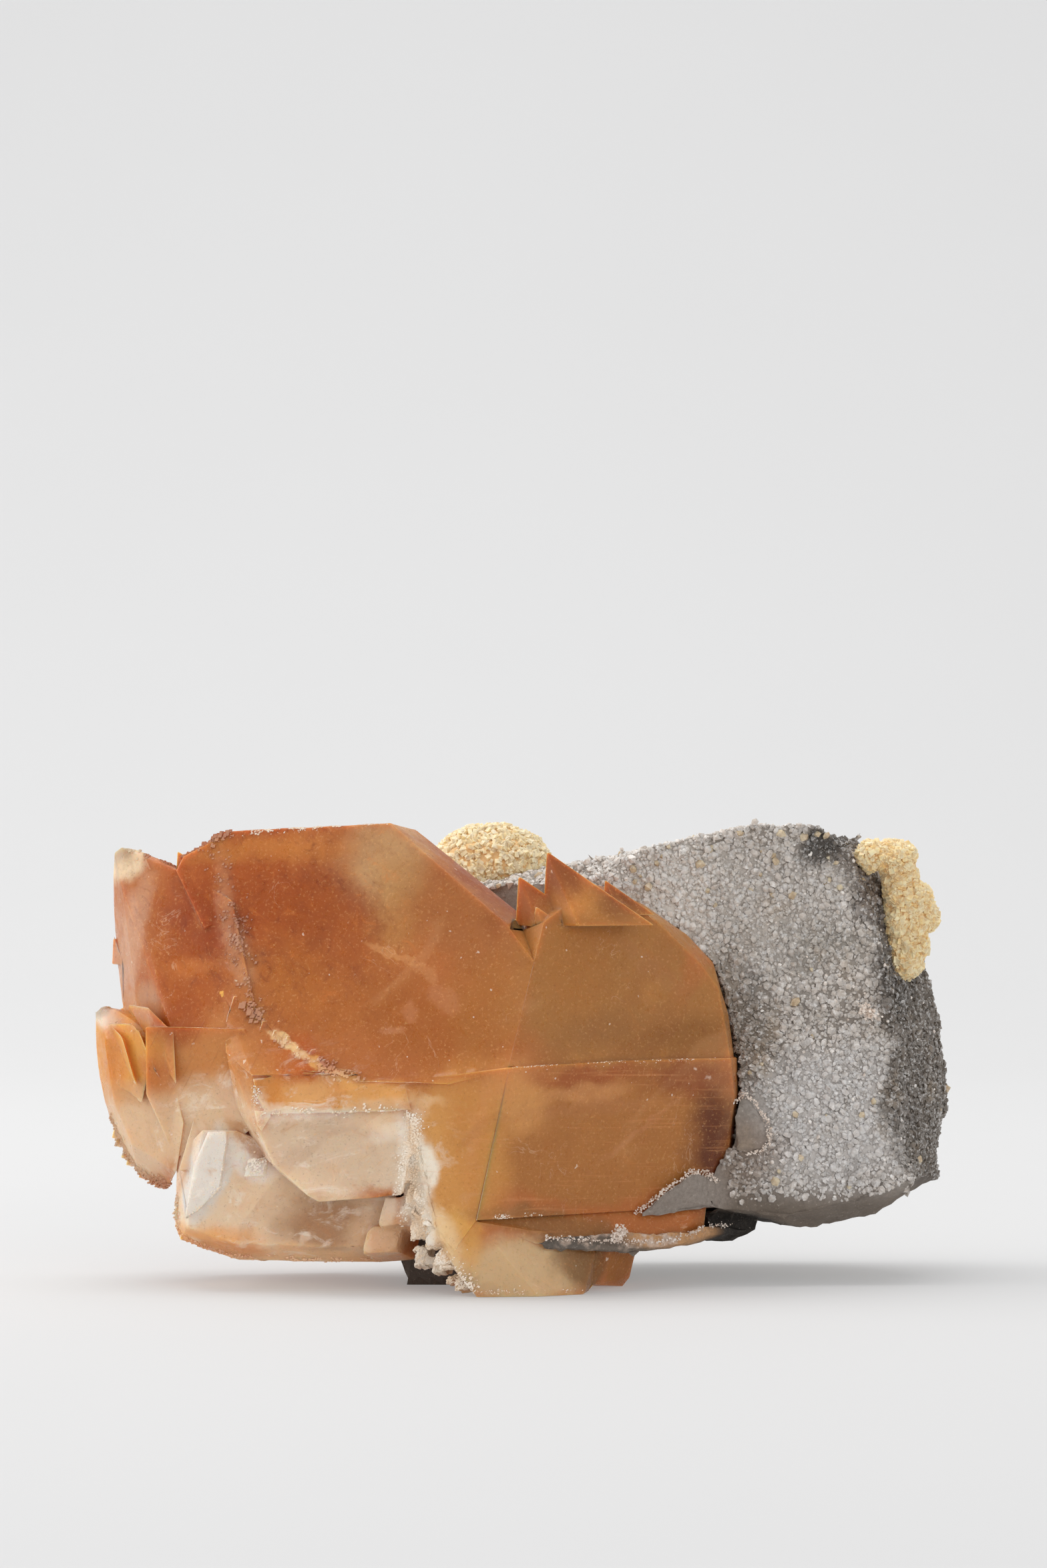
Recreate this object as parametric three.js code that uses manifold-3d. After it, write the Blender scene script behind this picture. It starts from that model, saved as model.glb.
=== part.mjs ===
// A cabinet specimen of dogtooth calcite, in millimetres, +Z up, seen from the front along +Y.
// Honey-coloured calcite crystals, grown together as parallel saw-toothed points and broken along their
// cleavage at the lower left, stand on a block of grey rock under a druse of tiny quartz crystals. Two
// growths of cream barite sit on the rock: a round ball on top and a knobbly cluster on the right
// shoulder. The crystals' foot and the underside of the rock share one resting plane.
import * as THREE from "three";
import { ConvexGeometry } from "three/addons/geometries/ConvexGeometry.js";
import { ImprovedNoise } from "three/addons/math/ImprovedNoise.js";
import { mergeVertices } from "three/addons/utils/BufferGeometryUtils.js";
import Module from "manifold-3d";

const wasm = await Module();
wasm.setup();

// Driving dimensions
const GIRDLE_X = -3; // the crystals' foremost corner, where four large faces meet
const GIRDLE_Y = -42;
const GIRDLE_Z = 47;
const BACK_Y = 38; // how far back the rock reaches
const SEAM_GAP = 0.35; // left between pieces that grew against each other
const ROCK_TRIANGLE = 10.5; // longest triangle edge on the rough rock
const QUARTZ_POINTS = 40; // larger crystals on the rock's druse
const TOOTH_SLOPE = 0.69; // fall of a tooth's long edge for each millimetre to the right
const LEDGE = 0.9; // how far the faces under the girdle stand in front of those above it

const COLOURS = {
  calcite: { color: 0xc27a3c, roughness: 0.3, metalness: 0 },
  rock: { color: 0x8f8b86, roughness: 0.85, metalness: 0 },
  barite: { color: 0xdcc08c, roughness: 0.8, metalness: 0 },
};

const noise = new ImprovedNoise();

// A repeatable stream of numbers from 0 to 1.
function numbers(seed) {
  let state = seed;
  return () => {
    state = (state * 1664525 + 1013904223) % 4294967296;
    return state / 4294967296;
  };
}

// A flat face as a function of x and z: the depth y at one place on it, and how much y grows for each
// millimetre of x and of z.
const face = (x0, y0, z0, perX, perZ) => (x, z) => [x, y0 + perX * (x - x0) + perZ * (z - z0), z];

const onFace = (plane, places) => places.map(([x, z]) => plane(x, z));

function solidFrom(geometry) {
  geometry.deleteAttribute("normal");
  geometry.deleteAttribute("uv");
  const merged = mergeVertices(geometry, 1e-4);
  return new wasm.Manifold(
    new wasm.Mesh({
      numProp: 3,
      vertProperties: new Float32Array(merged.attributes.position.array),
      triVerts: new Uint32Array(merged.index.array),
    }),
  );
}

// The flat-faced solid around a set of corners.
const hull = (corners) => solidFrom(new ConvexGeometry(corners.map((p) => new THREE.Vector3(...p))));

const joined = (solids) => solids.reduce((all, next) => all.add(next));

function geometryOf(solid) {
  const mesh = solid.getMesh();
  const places = new Float32Array(mesh.numVert * 3);
  for (let i = 0; i < mesh.numVert; i += 1) {
    places.set(mesh.vertProperties.subarray(i * mesh.numProp, i * mesh.numProp + 3), i * 3);
  }
  const geometry = new THREE.BufferGeometry();
  geometry.setAttribute("position", new THREE.BufferAttribute(places, 3));
  geometry.setIndex(new THREE.BufferAttribute(new Uint32Array(mesh.triVerts), 1));
  return geometry;
}

// The same corners moved out from their middle, until every flat face of their hull lies a seam gap
// further out.
function swollen(corners) {
  const points = corners.map((c) => new THREE.Vector3(...c));
  const sum = points.reduce((total, p) => total.add(p), new THREE.Vector3());
  const middle = sum.divideScalar(points.length);
  const position = new ConvexGeometry(points).attributes.position;
  const plane = new THREE.Plane();
  let nearest = Infinity;
  for (let i = 0; i < position.count; i += 3) {
    const triangle = [0, 1, 2].map((k) => new THREE.Vector3().fromBufferAttribute(position, i + k));
    plane.setFromCoplanarPoints(...triangle);
    nearest = Math.min(nearest, Math.abs(plane.distanceToPoint(middle)));
  }
  const scale = 1 + SEAM_GAP / nearest;
  return points.map((p) => p.sub(middle).multiplyScalar(scale).add(middle).toArray());
}

const largest = (solid) => solid.decompose().reduce((a, b) => (b.volume() > a.volume() ? b : a));

// Splits triangles at the middle of every edge longer than the limit, until none is.
function subdivided(geometry, limit) {
  const places = Array.from(geometry.attributes.position.array);
  let triangles = Array.from(geometry.index.array);
  const point = (i) => new THREE.Vector3(places[3 * i], places[3 * i + 1], places[3 * i + 2]);
  for (let changed = true; changed; ) {
    const middles = new Map();
    const next = [];
    const middle = (a, b) => {
      if (point(a).distanceTo(point(b)) <= limit) return null;
      const key = Math.min(a, b) + "_" + Math.max(a, b);
      if (!middles.has(key)) {
        const m = point(a).add(point(b)).multiplyScalar(0.5);
        middles.set(key, places.length / 3);
        places.push(m.x, m.y, m.z);
      }
      return middles.get(key);
    };
    for (let t = 0; t < triangles.length; t += 3) {
      let [a, b, c] = triangles.slice(t, t + 3);
      let [ab, bc, ca] = [middle(a, b), middle(b, c), middle(c, a)];
      const count = [ab, bc, ca].filter((m) => m !== null).length;
      // Turned so that the first edge is split, and on two splits the last edge is the whole one.
      while (count && (ab === null || (count === 2 && ca !== null))) {
        [a, b, c] = [b, c, a];
        [ab, bc, ca] = [bc, ca, ab];
      }
      if (count === 0) next.push(a, b, c);
      if (count === 1) next.push(a, ab, c, ab, b, c);
      if (count === 2) next.push(a, ab, c, ab, bc, c, ab, b, bc);
      if (count === 3) next.push(a, ab, ca, ab, b, bc, ca, bc, c, ab, bc, ca);
    }
    changed = middles.size > 0;
    triangles = next;
  }
  const out = new THREE.BufferGeometry();
  out.setAttribute("position", new THREE.BufferAttribute(new Float32Array(places), 3));
  out.setIndex(triangles);
  return out;
}

// Moves every corner by layers of smooth noise, each with a reach and an amount, and keeps the resting
// plane flat.
function roughened(solid, limit, layers) {
  const geometry = subdivided(geometryOf(solid), limit);
  const position = geometry.attributes.position;
  for (let i = 0; i < position.count; i += 1) {
    const p = new THREE.Vector3().fromBufferAttribute(position, i);
    const move = new THREE.Vector3();
    for (const [reach, amount] of layers) {
      const q = p.clone().divideScalar(reach);
      move.x += amount * noise.noise(q.x, q.y, q.z);
      move.y += amount * noise.noise(q.x + 31, q.y, q.z);
      move.z += amount * noise.noise(q.x, q.y + 47, q.z);
    }
    if (p.z < 0.01) move.z = 0;
    position.setXYZ(i, p.x + move.x, p.y + move.y, Math.max(0, p.z + move.z));
  }
  return solidFrom(geometry);
}

// The corners of one dogtooth point: a steep left edge, a long edge falling to the right, and a keel
// down its front.
function tooth(x, y, z, height, thickness) {
  const width = height / TOOTH_SLOPE;
  const base = z - height;
  return [
    [x, y, z],
    [x - 0.04 * width, y + 0.1 * thickness, base],
    [x + 0.3 * width, y - 0.5 * thickness, base],
    [x + width, y, base],
    [x + 0.5 * width, y + 0.6 * thickness, base],
  ];
}

// Calcite splits into leaning blocks whose edges keep the same three directions all over a crystal.
const CLEAVAGE = [
  [0.99, 0.1, 0.07],
  [0.27, 0.12, 0.95],
  [0.3, 0.92, -0.22],
];

function cleaved(corner, lengths) {
  const corners = [];
  for (const i of [0, lengths[0]]) {
    for (const j of [0, lengths[1]]) {
      for (const k of [0, lengths[2]]) {
        const [along, up, back] = CLEAVAGE;
        corners.push(corner.map((c, n) => c + i * along[n] + j * up[n] + k * back[n]));
      }
    }
  }
  return corners;
}

// Small cleaved blocks along a line of places, for an edge that broke raggedly.
function raggedEdge(places, count, size, seed) {
  const random = numbers(seed);
  const points = places.map((p) => new THREE.Vector3(...p));
  const line = new THREE.CatmullRomCurve3(points, false, "catmullrom", 0.1);
  return Array.from({ length: count }, (_, i) => {
    const p = line.getPointAt((i + 0.5) / count);
    const lengths = [0.7 + 0.6 * random(), 0.6 + 0.8 * random(), 1.6].map((s) => s * size);
    const shift = [random() - 0.5, random() - 0.5, random() - 0.5].map((s) => s * size * 0.7);
    return cleaved([p.x - size / 2 + shift[0], p.y + shift[1], p.z - size / 2 + shift[2]], lengths);
  });
}

// The four large faces around the foremost corner, two above the girdle and two below it
const upperLeft = face(GIRDLE_X, GIRDLE_Y, GIRDLE_Z, -0.22, 0.38);
const upperRight = face(GIRDLE_X, GIRDLE_Y, GIRDLE_Z, 0.574, 0.185);
const lowerRight = face(GIRDLE_X, GIRDLE_Y - LEDGE, GIRDLE_Z, 0.574, -0.2);
const lowerLeft = face(GIRDLE_X, GIRDLE_Y - LEDGE, GIRDLE_Z, -0.22, -0.032);

// The great crystal at the upper left, with a level top edge, a long slope to the right and a left
// shoulder.
function mainCrystal() {
  const body = [
    ...onFace(upperLeft, [
      [-64.6, 93.4], [-62.2, 94.3], [-27.6, 96.1], [-25, 93.2], [-2.8, 74.9], [2.2, 68], [-3, 47],
      [-9, 45.1],
      [-15.2, 43.3], [-33.6, 43.6], [-40, 46.8], [-51, 53.2], [-60.2, 64.5], [-64.2, 81.6],
    ]),
    [-22.4, -11.5, 94.6], [-19, -12, 91.4], [-1.2, -22.5, 77.8], [2.2, -22, 71],
    [-64, 4, 91.6], [-28, 1, 94.2], [-17, 0, 89], [-67, -4, 84], [-67, 12, 62], [-60, 19, 47],
    [-8, 19, 44], [-2, 5, 73], [-12, 8, 40],
  ];
  const shoulder = [
    ...onFace(upperLeft, [[-72.3, 86], [-70.8, 89], [-62.2, 93.6], [-61, 78], [-66, 74]]),
    [-72.6, -5, 86], [-70, 2, 88], [-60, 2, 91], [-66, 4, 74],
  ];
  return [body, shoulder];
}

// The crystal on the right, in front of the rock, with a narrow face along its shoulder.
const rightCrystal = () => [
  [
    ...onFace(upperRight, [
      [-3, 47], [4.1, 76], [9, 79.5], [21, 79.4], [27, 76.2], [36.8, 66.6], [40.6, 61.5],
      [41.9, 53.6], [42.9, 46.6],
    ]),
    [10, -16, 84.5], [17.5, -13, 82.6], [25, -10.5, 79], [34.2, -8, 72.6], [39.6, -8, 66.8],
    [42.8, -8, 56], [44, -9, 46],
    [-2.4, -25, 73], [2, 8, 78], [24, 6, 76], [38, 6, 62], [41, 8, 44], [0, 14, 44],
  ],
];

// The blocks below the girdle: the two faces under the ledge, and the undercut beneath them.
function lowerCrystals() {
  const right = [
    ...onFace(lowerRight, [
      [-3, 47], [20, 47.6], [42.9, 47.4], [43.8, 39.2], [42.2, 29], [42, 20.5], [39, 16.4],
      [-9.6, 15.9],
    ]),
    [44.6, -8, 47], [45, -8, 39], [43.2, -6, 21], [40, -4, 15], [42, 6, 40], [38, 4, 20],
    [0, 10, 44], [0, 6, 14],
  ];
  const left = [
    ...onFace(lowerLeft, [
      [-3, 47], [-9, 45.4], [-15.3, 43.6], [-25, 43.6], [-20.4, 33], [-17.6, 20], [-17.6, 14],
      [-9.6, 15.9], [-14, 9],
    ]),
    [-24, -30, 43], [-24, -28, 12], [-22, 6, 42], [-20, 4, 10], [0, 8, 44], [0, 4, 10],
  ];
  const undercut = [
    [-9.6, -38.6, 15.9], [16, -24.8, 16], [38, -12.8, 16.4], [2.5, -35, 10.6], [20, -26.4, 9.4],
    [31, -19, 9.8],
    [37.5, -12.5, 12], [30, 2, 12], [0, 0, 9],
  ];
  return [right, left, undercut];
}

// The foot that the specimen stands on, and the darker heel behind it.
function foot() {
  const sole = [
    [-9.6, -37, 0], [3, -36, 0], [12.2, -31.5, 0], [13.4, -25, 0], [9, -10, 0], [-7, -12, 0],
    [-17.2, -38.4, 12], [-14.4, -38.2, 6.6], [-11.4, -37.6, 2.4], [-9.6, -39.6, 15.6],
    [4, -33.5, 13], [15, -27.5, 8.6],
    [14.4, -26.5, 2.4], [16, -20, 14], [10, -6, 14], [-14, -8, 14], [-16, -20, 7],
  ];
  const heel = [
    [3.2, -32, 9.2], [6.4, -31.4, 3.6], [13.4, -27.4, 1.6], [20.6, -15.5, 0], [22, -16, 1.8],
    [23.2, -18.5, 7.4],
    [19, -25, 10], [12, -15, 0], [15, -9, 0], [19, -8, 0.6], [22, -8, 9], [5, -8, 9],
  ];
  return [sole, heel];
}

// The crystal at the far left, whose narrow left face catches the light.
const leftFace = face(-60.2, -22, 66.5, -0.45, 0.316);

const leftCrystal = () => [
  [
    ...onFace(leftFace, [
      [-83.8, 81.6], [-80.6, 77.3], [-79.1, 72.2], [-77.2, 66.2], [-75.2, 60.4], [-72.1, 52.3],
      [-61.7, 51.7],
      [-55, 58], [-60, 80], [-70.6, 85.4],
    ]),
    [-85.9, -3, 89.7], [-84.4, -4, 90.9], [-81, -5, 90.4], [-78.3, -6, 88.9], [-75, -6.8, 87.9],
    [-72.3, -7.4, 86.6],
    [-86.4, 0, 84.6], [-86.5, 3, 78], [-86.1, 4, 71.6], [-85.6, 4, 65], [-84.4, 2, 56], [-80, -8, 51.6],
    [-80, 9, 84], [-68, 10, 80], [-66, 16, 56], [-80, 12, 54], [-60, 12, 50],
  ],
];

// The small crystal below it, with its clear tip, and the spear-shaped growth steps between the two.
function smallLeftCrystal() {
  const body = [
    [-88.8, -3, 57.5], [-86.6, -5, 57.4], [-83.3, -8, 56], [-75, -16, 51],
    [-90.1, 0, 55.8], [-90.1, 0, 50], [-89.5, 0, 43.6], [-88, 0, 35.6], [-85.9, 0, 30.8],
    [-83.9, -1, 26.5],
    [-80.7, -3, 21.9], [-77, -6, 20.3], [-74.3, -9, 19.6],
    [-88, -7, 52], [-85.9, -9, 40.6], [-85.4, -9, 37.2], [-81.6, -12, 29], [-72.6, -20, 44],
    [-70, -21.5, 34],
    [-71.6, -19, 24], [-86, 8, 52], [-84, 10, 34], [-76, 8, 22], [-68, 14, 52],
  ];
  const tip = [
    [-88.9, -2, 57.8], [-90.2, 1, 54.6], [-89.6, 4, 50], [-84, 4, 50], [-86.4, -5.6, 55.6],
    [-86.2, -4, 57.6],
  ];
  const spears = [
    [[-83, -9, 58.4], [-77.6, -18.4, 58], [-72, -22.4, 53], [-71.4, -22.8, 42], [-74, -10, 50]],
    [[-83.6, -10, 54], [-79.6, -16.6, 53], [-75.6, -20.4, 44.4], [-78, -8, 48]],
    [[-86.6, -7, 54], [-83.4, -14.4, 52], [-80, -17, 41], [-82, -6, 47]],
    [[-87, -7, 54], [-80.6, -15, 54.4], [-76.4, -19, 46.6], [-79, -16, 38], [-84.6, -10.4, 41], [-80, -2, 48]],
  ];
  return [body, tip, ...spears];
}

// The broken lower left: cleavage steps under the great crystal, and the pale block beneath them.
const stepFace = face(-40, -35, 42, -0.2, 0.05);
const slabFace = face(-40, -34.2, 30, -0.15, 0.04);

function brokenBlocks() {
  const shoulder = [
    ...onFace(face(-66, -24.4, 52, -0.38, -0.136), [
      [-78, 54], [-57, 54], [-55, 34], [-60, 30], [-72, 27], [-78, 40],
    ]),
    [-78, 8, 50], [-74, 8, 24], [-56, 12, 30], [-56, 12, 54],
  ];
  const bench = [
    [-61.5, -23.4, 60.4], [-50.6, -28.6, 53.2], [-40, -33.3, 47], [-30, -35.8, 43.8], [-61, -27, 49],
    [-55.4, -32, 44.6], [-44.2, -34.2, 45.6], [-36, -35.6, 45.2], [-60, 0, 60], [-36, 0, 46],
    [-56, 0, 44],
  ];
  const slab = [
    ...onFace(slabFace, [
      [-55.6, 45], [-54, 33], [-51, 26.6], [-43.8, 20.2], [-41.7, 19.1], [-29.8, 20.2], [-24.6, 20.6],
      [-21.4, 36], [-22, 43], [-40, 46],
    ]),
    [-61, -27, 49.4], [-59, -25, 38], [-55, -22, 28], [-58, 6, 44], [-52, 6, 24], [-40, 4, 17],
    [-22, 4, 18], [-20, 6, 44],
  ];
  const step = [
    ...onFace(stepFace, [
      [-55.2, 44], [-44.2, 45.4], [-36, 46], [-24, 43.6], [-22.6, 38], [-34, 38.2], [-52.4, 36.8],
      [-54.6, 40.6],
    ]),
    [-54, -28, 44], [-24, -28, 43], [-24, -28, 38], [-52, -28, 37],
  ];
  const tongue = [
    ...onFace(stepFace, [[-55, 37.6], [-51.6, 37.6], [-51.4, 36.4], [-53.4, 33.2], [-54.4, 34.6]]),
    [-53, -28, 37], [-53, -28, 34],
  ];
  const block = [
    [-69, -25, 13], [-58, -26.4, 9.6], [-30, -26, 9], [-26, -25, 12], [-26, -26, 20],
    [-50, -27, 28], [-59, -25, 33],
    [-71.4, -18, 19.4], [-72, -18, 12.6], [-71, -18, 10], [-65.7, -20, 8], [-58.8, -20, 5.7],
    [-38, -20, 5.4],
    [-30, -19, 5.2], [-25, -18, 6.6], [-24, -17, 8.4], [-66, -24, 33], [-71.6, -18, 27],
    [-68, 8, 26], [-66, 10, 10], [-40, 14, 6.4], [-24, 6, 7], [-24, 8, 24],
  ];
  const whiteSlab = [
    [-69.6, -25.4, 15], [-66.6, -26.4, 16.6], [-62.2, -27.8, 21.4], [-60.6, -27.8, 31],
    [-60.8, -26.8, 33],
    [-64.6, -26.2, 32.8], [-67.8, -25, 25.6], [-66, -14, 32], [-60, -14, 32], [-66, -14, 16],
    [-60, -14, 22],
  ];
  return [
    shoulder,
    bench,
    slab,
    step,
    tongue,
    block,
    whiteSlab,
    cleaved([-71, -22.6, 24.6], [6, 11, 9]),
    cleaved([-30, -32.5, 13.8], [6.4, 6.4, 12]),
    cleaved([-33.5, -29, 7.8], [7.5, 6.2, 12]),
    cleaved([-57.6, -28.4, 23.6], [4.4, 4, 7]),
    cleaved([-61, -25.4, 55.2], [7, 5.6, 9]),
  ];
}

// The saw teeth along the top, the small points on the right shoulder, and the ragged broken edges.
function smallCrystals() {
  const random = numbers(7);
  const pieces = [
    tooth(4.6, -27.5, 90.6, 15.5, 12),
    tooth(16.6, -20.5, 84.6, 7.5, 6),
    tooth(-1.2, -27.5, 85.6, 10.5, 7),
    tooth(2.4, -30.6, 79.4, 4, 3),
    tooth(-86.6, 2, 72, 6, 7),
  ];
  for (let i = 0; i < 6; i += 1) {
    const [back, rise] = [0.5 * random(), 0.72 * i + 0.6 * random()];
    pieces.push(tooth(-72.2 + 1.75 * i, -8.6 - back, 89.6 + rise, 5 + random(), 5));
  }
  for (let i = 0; i < 3; i += 1) {
    pieces.push(tooth(-79.4 + 2.7 * i, -6.6, 89.6 - 0.9 * i, 3.4, 4));
  }
  for (let i = 0; i < 7; i += 1) {
    const place = upperLeft(-54 + 2.5 * i, 53.6 - 1.4 * i);
    pieces.push(cleaved(place, [1.6 + 1.6 * random(), 1 + 1.2 * random(), 4]));
  }
  pieces.push(
    ...raggedEdge(
      [[-20.4, -36, 35], [-22.2, -34.8, 29.4], [-24, -33.4, 23.8], [-24, -33, 19.4], [-22, -33.8, 15.8],
        [-22.4, -32.4, 10], [-19.6, -33, 7.6], [-15.6, -34.6, 5.6], [-12.6, -35.4, 2.6]],
      17, 3.4, 11,
    ),
    ...raggedEdge(
      [[-20.2, -37, 30], [-20.6, -36.6, 22], [-20, -36.6, 15], [-17.6, -36.8, 9.6],
      [-14, -36.8, 5]], 8, 3.2, 23,
    ),
    ...raggedEdge([[-86, -1, 31], [-83.6, -2.4, 26.2], [-80, -4, 22.6], [-75.6, -9, 21]], 9, 1.7, 5),
    ...raggedEdge([[-71, -19, 18.6], [-70.8, -19, 14], [-70.4, -19.4, 11]], 5, 2, 17),
  );
  return pieces;
}

const largeCrystals = () => [
  ...mainCrystal(),
  ...rightCrystal(),
  ...lowerCrystals(),
  ...foot(),
  ...leftCrystal(),
  ...smallLeftCrystal(),
  ...brokenBlocks(),
];

const rockFront = face(50, -9, 50, 0.08, 0.15);

// The rock: a block to the right of the crystals that runs on behind them, and a root that reaches the
// resting plane.
function rockForm() {
  const block = hull([
    ...onFace(rockFront, [
      [16, 86], [27, 91.4], [43, 93.8], [64, 94.8], [69.6, 90], [73, 77], [75, 64], [74.5, 50],
      [76, 38], [79, 28],
      [82.4, 22], [66, 18.6], [54, 18], [40, 15.6],
    ]),
    [46, -3, 12.4], [64, -3, 12.2], [74, -1, 13.6], [80, 2, 18.6],
    [71, 10, 92], [80, 13, 83], [85.6, 15, 66], [89.6, 15, 50], [89.8, 15, 42], [88.2, 13, 30],
    [87.6, 11, 20.6],
    [44, BACK_Y, 88], [66, 36, 86], [79, 33, 74], [84, 33, 46], [80, 30, 26], [64, 34, 16],
    [30, 36, 14],
    [-20, 10, 80], [2, 12, 80.5], [-16, 33, 78.5], [-25, 12, 62], [-27, 30, 50], [-24, 14, 20],
    [-20, 32, 24],
  ]);
  const root = hull([
    [-22, -12, 0], [16, -11, 0], [17, 8, 0], [12, 24, 0], [-16, 26, 0], [-23, 8, 0], [-26, -4, 12],
    [27, -6, 13],
    [28, 20, 16], [10, 33, 22], [-20, 32, 24], [-22, -8, 34], [24, -6, 34],
  ]);
  return roughened(block.add(root), ROCK_TRIANGLE, [[30, 3], [12, 1.5], [6, 0.7]]);
}

// The thin plates of crust that the crystals grew around.
function crustPlates() {
  const lens = [
    [22.8, -21.6, 15], [28, -21.6, 19.2], [34.4, -19.2, 23.6], [37.8, -16.6, 23.2], [40.6, -13, 21],
    [39.4, -14.6, 16.4], [24, -22, 14.4], [30, -15, 16], [44, -8, 21], [45, -6, 15], [36, -10, 14],
  ];
  const chip = [
    [43.6, -14, 37.6], [46, -13.4, 39.6], [47.8, -13.2, 38], [50.6, -13.2, 33.6], [51, -13, 29.8],
    [49.8, -13.4, 28.2], [46.6, -14.2, 27.2], [43.8, -14.6, 28], [45, -6, 37], [50, -6, 32],
    [46, -6, 28],
  ];
  const strip = [
    [2.6, -36.4, 11], [4.4, -36.2, 12], [16, -30.4, 10.6], [30, -22, 9.4], [38, -14.6, 12.4],
    [43, -9, 12],
    [4, -35.6, 9.4], [12, -31.6, 9], [24, -25, 7.4], [34, -16, 8], [44, -6, 9], [48.6, -5, 10.6],
    [40, 2, 12], [30, -10, 8.4],
  ];
  const lump = [
    [37, -8, 8.4], [43, -8, 8.2], [48.8, -6, 10.6], [47, 4, 12], [38, 4, 10], [36, -9, 13],
    [50, -4, 17], [40, 2, 18],
  ];
  return joined([lens, chip, strip, lump].map(hull));
}

// Larger quartz points scattered on the rock's upper edges and face.
function quartzPoints(rock) {
  const position = geometryOf(rock).attributes.position;
  const random = numbers(41);
  const points = [];
  while (points.length < QUARTZ_POINTS) {
    const p = new THREE.Vector3().fromBufferAttribute(position, Math.floor(random() * position.count));
    if (p.x < 14 || random() > (p.z > 80 ? 0.8 : 0.15)) continue;
    const size = 0.9 + 0.8 * random();
    const lean = new THREE.Vector3(random() - 0.5, random() - 0.5, random() - 0.5);
    const away = new THREE.Vector3(p.x - 45, p.y - 14, p.z - 50).normalize().add(lean).normalize();
    const turn = new THREE.Quaternion().setFromUnitVectors(new THREE.Vector3(0, 0, 1), away);
    const waist = [[0.6, 0, 0], [0, 0.6, 0.2], [-0.6, 0, 0], [0, -0.6, 0.2]];
    const corners = [[0, 0, 1.4], ...waist, [0, 0, -1.4]];
    points.push(
      hull(
        corners.map((c) =>
          new THREE.Vector3(...c).multiplyScalar(size).applyQuaternion(turn).add(p).toArray(),
        ),
      ),
    );
  }
  return joined(points);
}

// A knobbly ball: a sphere swollen into rounded lumps and stretched to its three radii.
function knobblyBall(centre, radii, detail, lumpCount, lumpHeight, seed) {
  const random = numbers(seed);
  const lumps = Array.from({ length: lumpCount }, () =>
    new THREE.Vector3(random() - 0.5, random() - 0.5, random() - 0.5).normalize(),
  );
  const spread = 5 / lumpCount;
  const geometry = new THREE.IcosahedronGeometry(1, detail);
  const position = geometry.attributes.position;
  for (let i = 0; i < position.count; i += 1) {
    const p = new THREE.Vector3().fromBufferAttribute(position, i).normalize();
    const nearest = Math.max(...lumps.map((lump) => 1 - (1 - lump.dot(p)) / spread));
    const stretch = 1 + lumpHeight * Math.max(-0.6, nearest);
    position.setXYZ(i, ...[p.x, p.y, p.z].map((v, n) => centre[n] + v * stretch * radii[n]));
  }
  return solidFrom(geometry);
}

// Each barite growth, with some more on every radius when it is to cut its own socket.
const bariteBall = (more) =>
  knobblyBall([-6.6, 23, 83.6], [13, 12, 11.2].map((r) => r + more), 5, 30, 0.09, 3);

function bariteCluster(more) {
  const lumps = [
    [73.6, 1.6, 88.9, 3], [78.4, 2.4, 88.2, 3.7], [79.6, 3.4, 83.8, 3.3], [80.8, 4.4, 79, 4.6],
    [83.4, 5.6, 77.2, 3.9],
    [80.4, 4.4, 74.6, 4.2], [80.8, 5, 70.2, 4.2], [80.4, 5, 66.8, 3.7],
  ];
  return joined(
    lumps.map(([x, y, z, r], i) =>
      knobblyBall([x, y, z], [r, r * 1.2, r].map((radius) => radius + more), 2, 9, 0.2, 60 + i),
    ),
  );
}

function part(name, solid, material) {
  const geometry = geometryOf(solid).toNonIndexed();
  geometry.computeVertexNormals();
  const look = new THREE.MeshStandardMaterial({ ...COLOURS[material], flatShading: true });
  const mesh = new THREE.Mesh(geometry, look);
  mesh.name = name;
  return mesh;
}

const calcite = largest(joined([...largeCrystals(), ...smallCrystals()].map(hull)));
const bareRock = rockForm();
const sockets = joined([
  ...largeCrystals().map((corners) => hull(swollen(corners))),
  bariteBall(SEAM_GAP),
  bariteCluster(SEAM_GAP),
]);
const rock = largest(joined([bareRock, crustPlates(), quartzPoints(bareRock)]).subtract(sockets));

const specimen = new THREE.Group();
specimen.add(
  part("calcite_crystals", calcite, "calcite"),
  part("matrix_rock", rock, "rock"),
  part("barite_ball", bariteBall(0), "barite"),
  part("barite_cluster", bariteCluster(0), "barite"),
);

// The origin is at the middle of the resting plane.
const bounds = new THREE.Box3().setFromObject(specimen);
const middle = bounds.getCenter(new THREE.Vector3());
specimen.position.set(-middle.x, -middle.y, -bounds.min.z);

export default specimen;
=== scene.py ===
import math

import bmesh
import bpy
import numpy as np
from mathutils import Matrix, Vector, noise


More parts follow.
